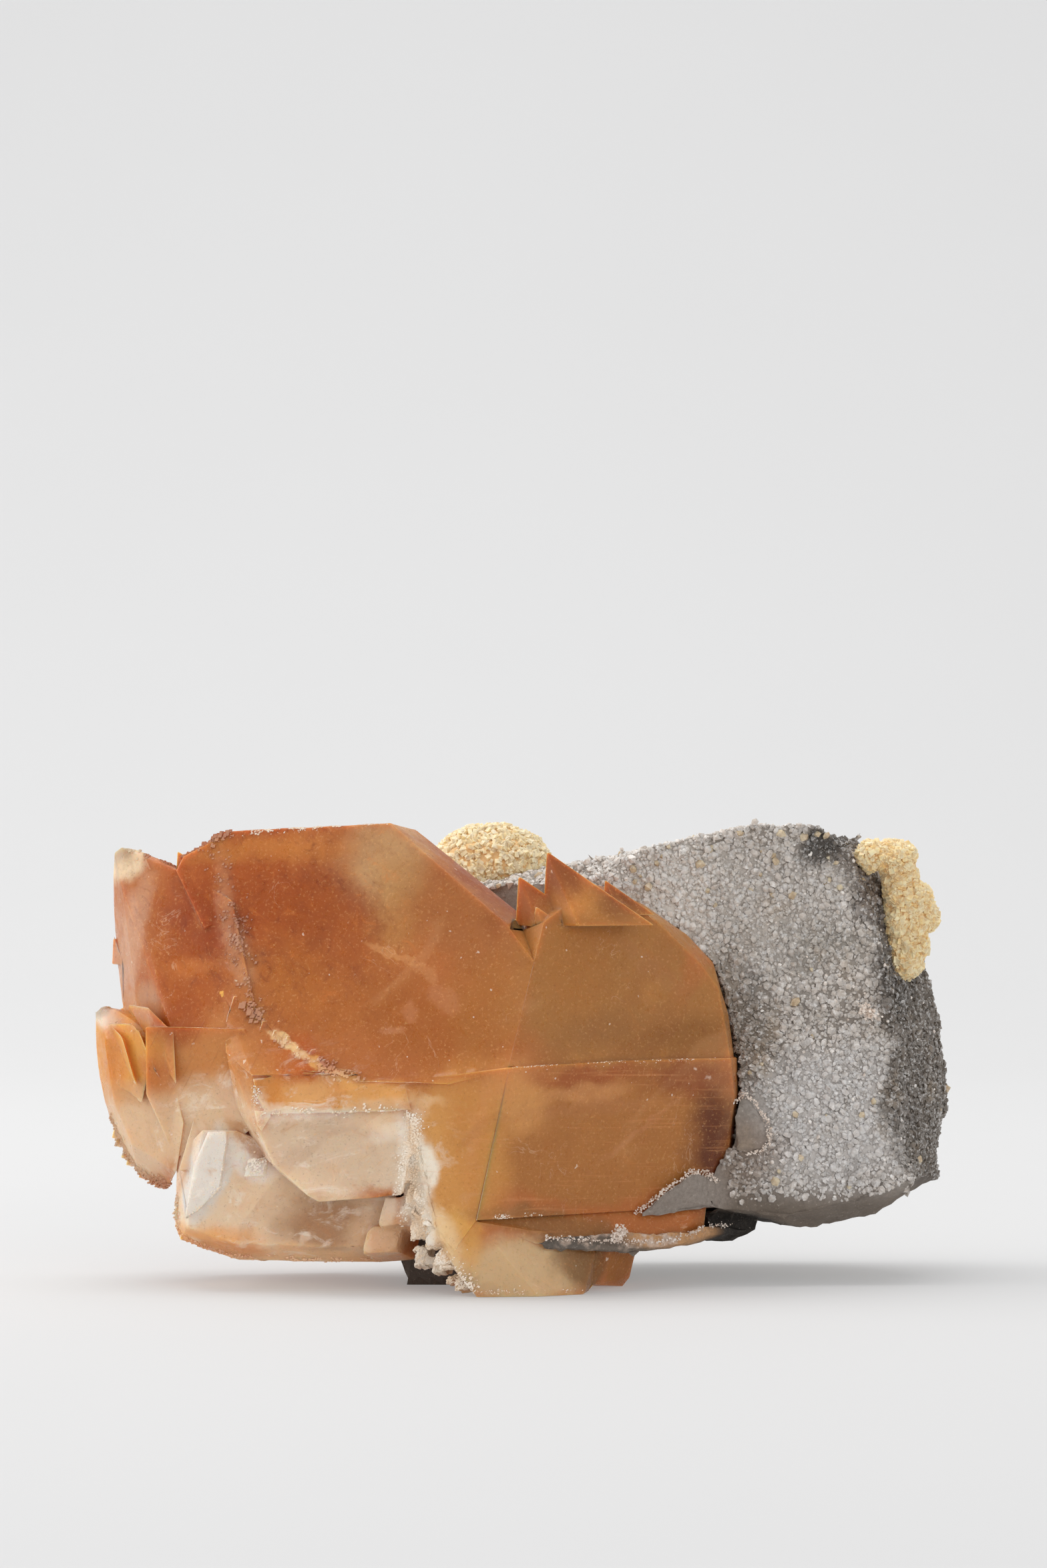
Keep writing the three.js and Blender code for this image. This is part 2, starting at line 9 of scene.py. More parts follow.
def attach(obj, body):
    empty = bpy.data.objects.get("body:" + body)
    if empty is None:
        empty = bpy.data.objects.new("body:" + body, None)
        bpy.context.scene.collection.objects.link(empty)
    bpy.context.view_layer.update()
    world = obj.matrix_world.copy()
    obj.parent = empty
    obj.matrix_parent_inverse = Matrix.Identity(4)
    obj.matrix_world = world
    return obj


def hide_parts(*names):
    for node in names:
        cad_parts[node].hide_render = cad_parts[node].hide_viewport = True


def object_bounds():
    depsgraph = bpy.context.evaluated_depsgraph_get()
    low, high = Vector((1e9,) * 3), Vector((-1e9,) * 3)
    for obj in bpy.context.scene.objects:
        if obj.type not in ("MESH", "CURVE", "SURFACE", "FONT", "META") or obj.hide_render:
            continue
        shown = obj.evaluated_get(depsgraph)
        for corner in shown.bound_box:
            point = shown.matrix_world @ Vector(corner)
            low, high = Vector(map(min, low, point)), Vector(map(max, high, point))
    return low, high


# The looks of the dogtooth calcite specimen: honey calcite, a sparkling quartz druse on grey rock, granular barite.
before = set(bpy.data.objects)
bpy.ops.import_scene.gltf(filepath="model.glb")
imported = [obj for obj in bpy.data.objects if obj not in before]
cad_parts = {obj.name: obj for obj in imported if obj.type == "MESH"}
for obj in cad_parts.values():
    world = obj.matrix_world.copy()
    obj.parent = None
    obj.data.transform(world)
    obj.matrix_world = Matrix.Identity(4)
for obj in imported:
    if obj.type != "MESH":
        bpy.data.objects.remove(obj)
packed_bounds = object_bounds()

# The part was laid out in millimetres around its own origin; this is where that origin lies in the row frame.
SHIFT = Vector((-0.347, 2.109, 0.0))


def metres(point):
    return (Vector(point) + SHIFT) / 1000


def linear(rgb):
    """An sRGB colour, 0 to 255, as the linear values that a shader takes."""
    return tuple((c / 255 / 12.92) if c <= 10 else (((c / 255 + 0.055) / 1.055) ** 2.4) for c in rgb) + (1,)


# Shaders


class Nodes:
    """A material's node tree, built one call at a time."""

    def __init__(self, name):
        self.material = bpy.data.materials.new(name)
        self.material.use_nodes = True
        self.tree = self.material.node_tree
        self.bsdf = self.tree.nodes["Principled BSDF"]
        self.place = self.add("ShaderNodeTexCoord").outputs["Object"]

    def add(self, kind, **settings):
        node = self.tree.nodes.new(kind)
        for name, value in settings.items():
            setattr(node, name, value)
        return node

    def put(self, socket, value):
        if isinstance(value, bpy.types.NodeSocket):
            self.tree.links.new(value, socket)
        else:
            socket.default_value = value

    def math(self, operation, a, b=0.0, clamp=False):
        node = self.add("ShaderNodeMath", operation=operation, use_clamp=clamp)
        self.put(node.inputs[0], a)
        self.put(node.inputs[1], b)
        return node.outputs[0]

    def vector(self, operation, a, b):
        node = self.add("ShaderNodeVectorMath", operation=operation)
        self.put(node.inputs[0], a)
        self.put(node.inputs[1], b)
        return node.outputs["Value"] if operation == "LENGTH" else node.outputs["Vector"]

    def mix(self, amount, a, b, blend="MIX"):
        node = self.add("ShaderNodeMix", data_type="RGBA", blend_type=blend)
        self.put(node.inputs[0], amount)
        self.put(node.inputs[6], a)
        self.put(node.inputs[7], b)
        return node.outputs[2]

    def noise(self, scale, detail=4.0, rough=0.55, stretch=None, place=None, distortion=0.0):
        place = place or self.place
        if stretch:
            place = self.vector("MULTIPLY", place, stretch)
        node = self.add("ShaderNodeTexNoise")
        self.put(node.inputs["Vector"], place)
        node.inputs["Scale"].default_value = scale
        node.inputs["Detail"].default_value = detail
        node.inputs["Roughness"].default_value = rough
        node.inputs["Distortion"].default_value = distortion
        return node.outputs["Fac"]

    def ramp(self, value, low, high, to_low=0.0, to_high=1.0):
        node = self.add("ShaderNodeMapRange", interpolation_type="SMOOTHSTEP")
        self.put(node.inputs["Value"], value)
        for name, number in (("From Min", low), ("From Max", high), ("To Min", to_low), ("To Max", to_high)):
            node.inputs[name].default_value = number
        return node.outputs["Result"]

    def warped(self, reach, amount):
        """Places pushed about by coloured noise, so that zones get ragged borders."""
        node = self.add("ShaderNodeTexNoise")
        self.put(node.inputs["Vector"], self.place)
        node.inputs["Scale"].default_value = reach
        node.inputs["Detail"].default_value = 5.0
        away = self.vector("SUBTRACT", node.outputs["Color"], (0.5, 0.5, 0.5))
        away = self.vector("MULTIPLY", away, (amount, amount, amount))
        return self.vector("ADD", self.place, away)

    def turned(self, place, angle):
        """Places turned about +Y, so that stretched noise runs along a slope."""
        node = self.add("ShaderNodeVectorRotate", rotation_type="Y_AXIS")
        self.put(node.inputs["Vector"], place)
        node.inputs["Angle"].default_value = math.radians(angle)
        return node.outputs["Vector"]

    def zone(self, place, centre, radii, strength, soft, tilt=0.0):
        """strength inside an ellipsoid in the part's millimetres, 0 outside it; tilt turns it clockwise."""
        away = self.vector("SUBTRACT", place, tuple(metres(centre)))
        if tilt:
            away = self.turned(away, -tilt)
        away = self.vector("DIVIDE", away, tuple(r / 1000 for r in radii))
        length = self.vector("LENGTH", away, (0, 0, 0))
        return self.ramp(length, 1 + soft, 1 - soft, 0.0, strength)


# The calcite's colours: centre and radii in the part's millimetres, colour, strength, softness and tilt.
# The calcite's soft colour zones: centre and radii in the part's millimetres, tone, strength, softness of the
# border, tilt in degrees. Later ones lie over earlier ones.
CALCITE_ZONES = [
    ((-60, -20, 82), (17, 30, 14), (175, 84, 28), 0.75, 0.55, 0),
    ((-54.2, -20, 90.4), (17, 30, 2.2), (207, 135, 62), 0.6, 0.6, -2),
    ((-66.2, -20, 74.6), (8, 30, 8), (152, 65, 24), 0.75, 0.6, 0),
    ((-49.4, -24, 80.6), (13, 30, 8), (162, 78, 24), 0.7, 0.6, 0),
    ((-40, -26, 73), (11, 30, 9), (160, 78, 20), 0.6, 0.6, 30),
    ((-71, -16, 62), (9, 26, 9), (176, 89, 22), 0.8, 0.5, 0),
    ((-46, -28, 62), (12, 30, 7), (181, 107, 39), 0.6, 0.6, 35),
    ((-28.5, -24, 88.5), (8.5, 26, 9), (197, 158, 111), 0.8, 0.5, 0),
    ((-26, -26, 79), (5, 20, 9), (189, 137, 77), 0.6, 0.6, 15),
    ((-12, -26, 78), (13, 22, 10), (162, 103, 54), 0.6, 0.5, 35),
    ((-11, -21, 86), (19, 8, 2.4), (147, 74, 37), 0.8, 0.5, 39),
    ((-22, -34, 56), (14, 22, 8), (166, 95, 31), 0.6, 0.6, 30),
    ((-8, -38, 58), (7, 16, 12), (172, 111, 49), 0.6, 0.5, 0),
    ((22, -25, 62), (26, 40, 22), (174, 120, 63), 0.95, 0.25, 0),
    ((10, -30, 68), (8, 20, 11), (180, 118, 55), 0.6, 0.6, 0),
    ((33, -16, 52), (12, 20, 4), (140, 89, 37), 0.6, 0.6, 0),
    ((39, -12, 72), (3, 16, 14), (189, 118, 64), 0.7, 0.5, 28),
    ((18, -30, 32), (34, 26, 14.4), (177, 116, 58), 1.0, 0.12, 0),
    ((-1, -40, 40), (8, 10, 7), (220, 160, 95), 0.7, 0.5, 0),
    ((12, -36, 25), (14, 14, 6), (178, 117, 58), 0.5, 0.6, 0),
    ((13, -34, 45), (12, 14, 1.8), (164, 83, 40), 0.65, 0.7, 0),
    ((39.5, -16, 29), (5, 16, 13), (88, 35, 18), 0.85, 0.6, 0),
    ((34, -18, 43.4), (9, 16, 4), (144, 74, 37), 0.75, 0.6, 0),
    ((-13, -38, 30), (10, 12, 17), (209, 147, 77), 0.9, 0.35, 0),
    ((-18.4, -38, 33), (3.4, 12, 11), (215, 156, 88), 0.6, 0.5, 12),
    ((-40, -33, 41.2), (20, 9, 4.6), (238, 178, 104), 0.95, 0.25, 0),
    ((-46, -34, 46), (9, 12, 5), (189, 87, 19), 0.75, 0.5, 35),
    ((-52, -32, 40.5), (4, 12, 4.5), (225, 143, 53), 0.7, 0.5, 0),
    ((-38, -34, 29), (19, 14, 8.6), (223, 197, 168), 1.0, 0.14, 0),
    ((-28, -35, 35.6), (8, 12, 2.4), (245, 215, 181), 0.8, 0.5, -4),
    ((-62, -22, 44), (16, 16, 11), (206, 139, 77), 0.9, 0.5, 0),
    ((-64, -24, 33), (13, 14, 10), (226, 195, 160), 0.95, 0.4, 0),
    ((-52, -24, 15), (24, 24, 12), (236, 209, 177), 1.0, 0.18, 0),
    # painted shadow: brown zone on the lower block where the pale slab above shades it
    ((-41, -28, 14), (9, 16, 6), (158, 102, 50), 0.75, 0.6, 0),
    ((-28.5, -30, 16.5), (4, 10, 3.6), (231, 207, 181), 0.95, 0.2, 0),
    ((-66, -20, 9.6), (12, 16, 4), (238, 171, 101), 0.9, 0.5, 0),
    ((-45, -22, 6.4), (20, 14, 2.4), (236, 184, 132), 0.8, 0.6, 0),
    ((-65, -26, 24), (5, 8, 9.5), (229, 221, 210), 0.95, 0.16, 20),
    ((-55.6, -26, 26.6), (5.4, 8, 4.4), (246, 235, 224), 0.9, 0.35, 30),
    ((-84, -6, 48), (11, 20, 11), (225, 160, 75), 0.9, 0.4, 0),
    ((-86, -6, 47), (3.5, 16, 7), (204, 115, 37), 0.6, 0.6, -8),
    ((-80, -8, 31), (11, 20, 10), (222, 188, 151), 0.95, 0.35, 0),
    ((-21.6, -36, 24), (4.0, 9, 12), (247, 236, 216), 0.9, 0.3, 0),
    ((-18.4, -36, 9), (6, 9, 8), (247, 238, 222), 0.95, 0.3, 0),
    ((0, -34, 5), (15, 12, 7), (222, 194, 150), 0.85, 0.35, 0),
    ((-13, -38, 12), (5, 9, 6), (235, 181, 96), 0.6, 0.5, 0),
    ((13, -30, 6), (6, 9, 6), (122, 81, 33), 0.8, 0.35, 0),
    ((20.5, -22, 4), (3, 8, 6), (154, 95, 27), 0.8, 0.4, 0),
    ((8, -34, 13.6), (18, 14, 2.6), (148, 105, 58), 0.7, 0.5, 10),
    ((-83.6, -2, 88.6), (4.6, 12, 4.4), (240, 222, 186), 0.85, 0.35, 20),
    ((-89, -2, 56), (4, 12, 3.4), (230, 216, 194), 0.9, 0.4, 0),
    ((6, -25, 86), (6, 14, 6), (140, 76, 32), 0.75, 0.4, 0),
    ((20, -18, 81.4), (5, 14, 4.6), (136, 76, 36), 0.8, 0.5, 30),
    ((-0.4, -28, 81), (3.2, 14, 5), (164, 92, 44), 0.7, 0.5, 0),
    ((11, -24, 79.4), (5, 12, 3), (206, 138, 70), 0.7, 0.5, 20),
    # painted reflection: pale pink on the left crystal's narrow left facet, where it mirrors the lamp on the left
    ((-82.6, -6, 70), (3.6, 12, 16), (205, 154, 121), 0.85, 0.4, 15),
    ((-78, -10, 57.4), (3.6, 16, 4), (194, 142, 106), 0.8, 0.5, 15),
    ((-43, -33, 41.6), (5, 9, 3), (238, 188, 124), 0.7, 0.5, 0),
    ((13, -32, 41.4), (8, 14, 2), (214, 152, 96), 0.6, 0.6, -3),
    ((-70, -14, 55.4), (5, 20, 4), (164, 74, 12), 0.6, 0.5, 0),
    ((-6, -24, 77), (4, 10, 3), (150, 84, 36), 0.6, 0.5, 39),
]

# Smaller marks over them: inner veils, streaks and cloudy patches with sharper borders, and a painted highlight
# along one edge.
CALCITE_MARKS = [
    ((-27.2, -30, 69.4), (5.8, 20, 0.9), (212, 152, 96), 0.55, 0.3, 22),
    ((-19.7, -32, 65.6), (2.7, 20, 1.5), (208, 146, 94), 0.45, 0.3, 30),
    ((-16.2, -34, 60.4), (3.8, 20, 2.4), (204, 138, 94), 0.4, 0.35, 35),
    ((-23.0, -34, 57.6), (1.6, 20, 2.2), (206, 140, 96), 0.4, 0.4, -20),
    ((-26.6, -34, 54.0), (2.2, 20, 1.0), (208, 148, 106), 0.4, 0.4, 0),
    ((-34.0, -28, 79.5), (2.6, 20, 6.5), (146, 72, 36), 0.4, 0.6, -35),
    # painted highlight: two bright lines along the lower left edge of the upper crystal's face
    ((-48.0, -32, 50.9), (4.8, 14, 1.1), (246, 206, 150), 0.85, 0.35, 33),
    ((-42.4, -35, 47.4), (2.6, 14, 0.9), (240, 180, 104), 0.7, 0.4, 38),
    ((-61.9, -20, 61.2), (0.35, 20, 0.35), (252, 196, 96), 0.8, 0.3, 0),
    ((-61.6, -16, 79.0), (1.8, 20, 10.5), (198, 138, 98), 0.55, 0.7, -7),
    ((-59.0, -18, 71.6), (2.2, 20, 3.4), (206, 150, 112), 0.5, 0.6, -20),
    ((-57.4, -22, 65.0), (2.6, 20, 2.0), (204, 148, 108), 0.5, 0.6, 30),
    ((-69.0, -14, 66.0), (5.0, 20, 2.0), (214, 134, 66), 0.4, 0.7, 0),
    ((-50.0, -34, 37.4), (5.0, 10, 1.3), (246, 230, 210), 0.7, 0.7, -3),
    ((-53.4, -34, 39.4), (1.2, 10, 2.0), (246, 226, 200), 0.5, 0.7, 0),
    ((-40.0, -34, 37.2), (7.0, 10, 1.0), (246, 230, 212), 0.7, 0.7, -3),
    ((-30.0, -34, 38.6), (6.0, 10, 1.6), (240, 210, 170), 0.6, 0.7, -3),
    ((-24.0, -34, 31.0), (1.5, 10, 7.0), (248, 236, 220), 0.5, 0.6, -6),
    ((-20.0, -36, 40.0), (4.0, 10, 1.2), (240, 206, 160), 0.5, 0.7, 0),
    ((-16.4, -36, 14.0), (1.6, 9, 5.0), (240, 200, 140), 0.6, 0.7, -22),
    ((-26.5, -34, 33.6), (5.4, 10, 1.7), (250, 238, 222), 0.35, 0.6, -25),
    ((-47.0, -32, 36.0), (7.0, 10, 1.0), (246, 224, 200), 0.5, 0.6, 0),
    ((-69.6, -24, 27.0), (1.6, 12, 7.5), (238, 210, 182), 0.6, 0.4, 25),
    ((-56.4, -28, 31.0), (6.6, 10, 1.7), (194, 140, 96), 0.75, 0.35, 46),
    ((-60.8, -26, 39.6), (2.0, 10, 5.0), (226, 188, 154), 0.7, 0.4, -15),
    ((-76.0, -16, 44.5), (3.6, 12, 3.6), (190, 106, 50), 0.6, 0.6, 30),
    ((-83.0, -12, 40.0), (5.0, 12, 2.2), (206, 146, 90), 0.5, 0.6, 0),
    ((-29.0, -28, 11.6), (6.0, 10, 4.4), (228, 190, 150), 0.8, 0.5, 0),
    ((-60.6, -24, 8.6), (7.6, 10, 1.7), (216, 146, 94), 0.8, 0.4, 9),
    ((-44.9, -24, 10.8), (0.9, 10, 1.7), (236, 212, 186), 0.7, 0.4, 30),
    ((-31.6, -24, 9.2), (0.8, 10, 1.3), (230, 204, 176), 0.6, 0.4, -30),
    ((-57.5, -24, 9.6), (1.6, 10, 1.0), (236, 208, 178), 0.6, 0.4, 20),
    ((-9.0, -40, 36.0), (1.4, 12, 9.0), (216, 152, 94), 0.4, 0.6, 14),
    ((24.0, -26, 33.0), (12.0, 20, 0.7), (196, 134, 88), 0.35, 0.5, -38),
    ((14.0, -32, 38.0), (16.0, 20, 1.6), (184, 124, 76), 0.4, 0.6, -3),
    ((27.0, -22, 66.0), (9.0, 20, 2.0), (178, 124, 76), 0.35, 0.6, 40),
    ((16.0, -28, 54.0), (10.0, 20, 3.4), (148, 98, 54), 0.35, 0.7, -12),
    ((35.4, -16, 45.2), (0.5, 14, 0.4), (236, 216, 200), 0.7, 0.6, 0),
    ((38.4, -15, 43.0), (0.4, 14, 0.4), (230, 206, 190), 0.6, 0.6, 0),
]


def calcite_material(name="honey_calcite", pale=0.0, solid=False):
    """The honey calcite; pale lifts it towards white, for the white of broken edges and, on the bevels, painted
    highlight lines; solid leaves out its depth.
    """
    n = Nodes(name)
    ragged = n.warped(120.0, 0.008)
    colour = linear((186, 112, 58))
    for centre, radii, tone, strength, soft, tilt in CALCITE_ZONES:
        colour = n.mix(n.zone(ragged, centre, radii, strength, soft, tilt), colour, linear(tone))
    frayed = n.warped(420.0, 0.0035)
    for centre, radii, tone, strength, soft, tilt in CALCITE_MARKS:
        colour = n.mix(n.zone(frayed, centre, radii, strength, soft, tilt), colour, linear(tone))
    upper = n.zone(n.place, (-54, -20, 78), (30, 40, 22), 1.0, 0.5)
    low_left = n.zone(n.place, (-60, -24, 50), (24, 30, 11), 1.0, 0.4)
    lower = n.zone(n.place, (14, -30, 30), (40, 30, 18), 1.0, 0.2)
    # feathery darker inclusions, thickest in the upper crystal
    clouds = n.noise(95.0, 8.0, 0.68, distortion=0.5)
    sloping = n.turned(n.place, 40.0)
    feather = n.noise(330.0, 7.0, 0.75, stretch=(1.0, 1.0, 0.6), place=sloping, distortion=0.8)
    dark = n.math("ADD", n.ramp(clouds, 0.5, 0.68, 0.0, 0.4), n.ramp(feather, 0.52, 0.68, 0.0, 0.5), True)
    dark = n.math("MULTIPLY", dark, n.math("ADD", n.math("MULTIPLY", upper, 0.85), 0.16, True))
    colour = n.mix(dark, colour, linear((126, 54, 26)))
    light = n.math("MULTIPLY", n.ramp(feather, 0.46, 0.3, 0.0, 0.34), n.math("ADD", upper, 0.35, True))
    colour = n.mix(light, colour, linear((222, 132, 60)))
    colour = n.mix(n.ramp(clouds, 0.46, 0.26, 0.0, 0.22), colour, linear((230, 158, 86)))
    # growth lines: level below the girdle, sloping on the broken left part
    level = n.noise(1100.0, 3.0, 0.6, stretch=(0.05, 0.05, 1.0), place=n.turned(n.place, -2.0))
    level = n.math("MULTIPLY", n.ramp(level, 0.56, 0.7, 0.0, 0.3), lower)
    colour = n.mix(level, colour, linear((222, 156, 100)))
    slope = n.noise(700.0, 3.0, 0.6, stretch=(0.06, 0.06, 1.0), place=n.turned(n.place, 62.0), distortion=0.3)
    slope = n.math("MULTIPLY", n.ramp(slope, 0.6, 0.68, 0.0, 0.3), low_left)
    colour = n.mix(slope, colour, linear((158, 84, 42)))
    # feathery white fractures in the pale broken parts
    broken = n.zone(n.place, (-46, -26, 26), (34, 30, 22), 1.0, 0.3)
    frost = n.noise(230.0, 7.0, 0.72, stretch=(0.45, 1.0, 1.0), place=n.turned(n.place, 12.0), distortion=1.2)
    white = n.math("MULTIPLY", n.ramp(frost, 0.52, 0.68, 0.0, 0.5), broken)
    colour = n.mix(white, colour, linear((250, 240, 226)))
    tan = n.math("MULTIPLY", n.ramp(frost, 0.44, 0.3, 0.0, 0.45), broken)
    colour = n.mix(tan, colour, linear((206, 156, 112)))
    # inner veils with sharp borders
    veil = n.noise(24.0, 3.0, 0.5, stretch=(1.0, 1.0, 2.2), place=n.turned(n.place, 42.0), distortion=0.8)
    colour = n.mix(n.ramp(veil, 0.6, 0.68, 0.0, 0.12), colour, linear((240, 190, 136)))
    colour = n.mix(n.ramp(veil, 0.43, 0.4, 0.0, 0.12), colour, linear((146, 78, 40)))
    # thin cracks here and there
    field = n.noise(85.0, 5.0, 0.55, distortion=1.2)
    crack = n.ramp(n.math("ABSOLUTE", n.math("SUBTRACT", field, 0.5)), 0.006, 0.001)
    crack = n.math("MULTIPLY", crack, n.ramp(n.noise(55.0, 2.0, 0.5), 0.56, 0.62, 0.0, 0.25))
    colour = n.mix(crack, colour, linear((246, 214, 180)))
    # dust and grit
    fine = n.noise(1700.0, 3.0, 0.7)
    colour = n.mix(n.ramp(fine, 0.54, 0.72, 0.0, 0.3), colour, linear((240, 188, 126)))
    colour = n.mix(n.ramp(fine, 0.42, 0.26, 0.0, 0.35), colour, linear((120, 62, 32)))
    flecks = n.noise(620.0, 2.0, 0.5)
    colour = n.mix(n.ramp(flecks, 0.735, 0.77, 0.0, 0.5), colour, linear((250, 238, 222)))
    if pale:
        colour = n.mix(pale, colour, linear((246, 232, 214)))
    b = n.bsdf
    n.put(b.inputs["Base Color"], colour)
    n.put(b.inputs["Roughness"], n.ramp(n.noise(420.0, 5.0, 0.65), 0.35, 0.7, 0.26, 0.5))
    b.inputs["IOR"].default_value = 1.5
    b.inputs["Specular IOR Level"].default_value = 0.5 if pale else 0.28
    if not solid:
        # less light inside the small broken steps, which would turn grey, and clear tips at the far left
        crumbly = n.math("MAXIMUM", n.zone(n.place, (-20, -34, 18), (9, 14, 22), 1.0, 0.3),
                         n.zone(n.place, (-66, -26, 24), (7, 12, 12), 0.6, 0.3))
        depth = n.math("SUBTRACT", 0.9, n.math("MULTIPLY", crumbly, 0.85))
        n.put(b.inputs["Subsurface Weight"], depth)
        b.inputs["Subsurface Radius"].default_value = (1.0, 0.6, 0.35)
        b.inputs["Subsurface Scale"].default_value = 0.0035
        clear = n.zone(n.place, (-86, -2, 92), (5.0, 12, 4.4), 0.4, 0.35)
        clear = n.math("MAXIMUM", clear, n.zone(n.place, (-90, -2, 58.4), (4.2, 12, 3.4), 0.45, 0.3))
        n.put(b.inputs["Transmission Weight"], n.math("ADD", clear, 0.03, True))
        absorb = n.add("ShaderNodeVolumeAbsorption")
        absorb.inputs["Color"].default_value = linear((238, 196, 140))
        absorb.inputs["Density"].default_value = 30.0
        n.tree.links.new(absorb.outputs[0], n.tree.nodes["Material Output"].inputs["Volume"])
    height = n.math("ADD", n.math("MULTIPLY", fine, 0.35), n.math("MULTIPLY", clouds, 0.5))
    height = n.math("ADD", height, n.math("MULTIPLY", n.math("ADD", level, slope), 0.5))
    bump = n.add("ShaderNodeBump")
    bump.inputs["Strength"].default_value = 0.25
    bump.inputs["Distance"].default_value = 0.0004
    n.put(bump.inputs["Height"], height)
    n.put(b.inputs["Normal"], bump.outputs["Normal"])
    return n.material


# The rock's colour zones: centre and radii in the part's millimetres, tone, strength and softness.
ROCK_ZONES = [
    ((30, -10, 72), (20, 40, 20), (240, 232, 222), 0.85, 0.5),
    # painted shade: darker brown on the rock along its seam with the calcite
    ((45, -10, 50), (8, 40, 24), (106, 90, 72), 0.7, 0.6),
    ((44, -10, 66), (6, 40, 8), (130, 112, 90), 0.6, 0.6),
    ((64, -10, 33), (16, 40, 16), (216, 210, 205), 0.9, 0.45),
    ((56, -10, 76), (15, 40, 16), (212, 203, 194), 0.7, 0.5),
    ((66, -6, 92), (7, 30, 6), (78, 72, 66), 0.95, 0.4),
    ((73, -6, 84), (6, 30, 9), (104, 90, 78), 0.9, 0.4),
    ((62, -10, 70), (8, 30, 5), (162, 154, 143), 0.6, 0.6),
    # darker right side of the rock: thinner druse there, and painted shade on the facet turned away from the lamps
    ((89, 6, 42), (14.4, 40, 30), (98, 88, 78), 0.9, 0.14),
    ((78, 4, 68), (7, 30, 12), (78, 70, 62), 0.9, 0.35),
    ((46, -10, 27), (7, 30, 7), (144, 123, 107), 0.6, 0.6),
]
# Zones over them on the bare rock only: underside, lens, heel, dark lump, honey end and dark end of the strip.
BARE_ROCK_ZONES = [
    ((50, 0, 4), (90, 90, 16), (112, 98, 84), 0.85, 0.25),
    ((32, -20, 19), (12, 12, 7), (158, 146, 136), 0.9, 0.2),
    ((-12, -8, 4), (20, 30, 12), (104, 96, 88), 0.95, 0.2),
    ((44, -2, 11), (10, 18, 4.6), (36, 32, 28), 0.95, 0.3),
    ((31, -20, 11), (12, 12, 2.6), (214, 160, 108), 0.9, 0.25),
    ((8, -32, 10.6), (6, 10, 2.4), (100, 92, 84), 0.8, 0.4),
]


def rock_colour(n, base):
    """The zones and patches that the bare rock and the druse on it share."""
    ragged = n.warped(90.0, 0.016)
    colour = linear(base)
    for centre, radii, tone, strength, soft in ROCK_ZONES:
        colour = n.mix(n.zone(ragged, centre, radii, strength, soft), colour, linear(tone))
    patches = n.noise(110.0, 5.0, 0.6)
    colour = n.mix(n.ramp(patches, 0.55, 0.75, 0.0, 0.45), colour, linear((186, 164, 138)))
    return n.mix(n.ramp(patches, 0.45, 0.25, 0.0, 0.45), colour, linear((116, 112, 110)))


def rock_material():
    n = Nodes("grey_rock")
    colour = rock_colour(n, (158, 148, 138))
    for centre, radii, tone, strength, soft in BARE_ROCK_ZONES:
        colour = n.mix(n.zone(n.place, centre, radii, strength, soft), colour, linear(tone))
    strip = n.zone(n.place, (24, -26, 11.4), (24, 12, 2.6), 1.0, 0.4)
    crust = n.math("MULTIPLY", strip, n.ramp(n.noise(260.0), 0.48, 0.6))
    colour = n.mix(crust, colour, linear((222, 196, 176)))
    grain = n.noise(1400.0, 4.0, 0.7)
    colour = n.mix(n.ramp(grain, 0.46, 0.62, 0.0, 0.25), colour, linear((96, 88, 80)))
    colour = n.mix(n.ramp(grain, 0.4, 0.3, 0.0, 0.5), colour, linear((208, 196, 184)))
    n.put(n.bsdf.inputs["Base Color"], colour)
    n.bsdf.inputs["Roughness"].default_value = 0.72
    bump = n.add("ShaderNodeBump")
    bump.inputs["Strength"].default_value = 0.8
    bump.inputs["Distance"].default_value = 0.0006
    n.put(bump.inputs["Height"], n.noise(1100.0, 6.0, 0.75))
    n.put(n.bsdf.inputs["Normal"], bump.outputs["Normal"])
    return n.material


def druse_material():
    n = Nodes("quartz_druse")
    colour = rock_colour(n, (210, 200, 190))
    grain = n.noise(950.0, 2.0, 0.7)
    colour = n.mix(n.ramp(grain, 0.5, 0.68, 0.0, 0.5), colour, linear((248, 244, 240)))
    colour = n.mix(n.ramp(grain, 0.46, 0.32, 0.0, 0.42), colour, linear((134, 120, 106)))
    n.put(n.bsdf.inputs["Base Color"], colour)
    n.bsdf.inputs["Roughness"].default_value = 0.24
    n.bsdf.inputs["IOR"].default_value = 1.54
    n.bsdf.inputs["Subsurface Weight"].default_value = 0.35
    n.bsdf.inputs["Subsurface Radius"].default_value = (1.0, 0.9, 0.8)
    n.bsdf.inputs["Subsurface Scale"].default_value = 0.001
    n.bsdf.inputs["Transmission Weight"].default_value = 0.1
    return n.material


def plain_material(name, tone, second, scale, roughness, scatter=0.0):
    """Two tones mixed by noise, for chips, grains and paper."""
    n = Nodes(name)
    colour = n.mix(n.ramp(n.noise(scale, 3.0, 0.6), 0.35, 0.68), linear(tone), linear(second))
    n.put(n.bsdf.inputs["Base Color"], colour)
    n.bsdf.inputs["Roughness"].default_value = roughness
    if scatter:
        n.bsdf.inputs["Subsurface Weight"].default_value = scatter
        n.bsdf.inputs["Subsurface Radius"].default_value = (1.0, 0.7, 0.45)
        n.bsdf.inputs["Subsurface Scale"].default_value = 0.0015
    return n.material


# Shapes


def piece(name, mesh, material, node=None):
    """A mesh as a visible piece that rides the body, and stands for a CAD node where one is named."""
    obj = bpy.data.objects.new(name, mesh)
    bpy.context.scene.collection.objects.link(obj)
    mesh.materials.clear()
    mesh.materials.append(material)
    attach(obj, "root")
    if node:
        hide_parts(node)
    return obj


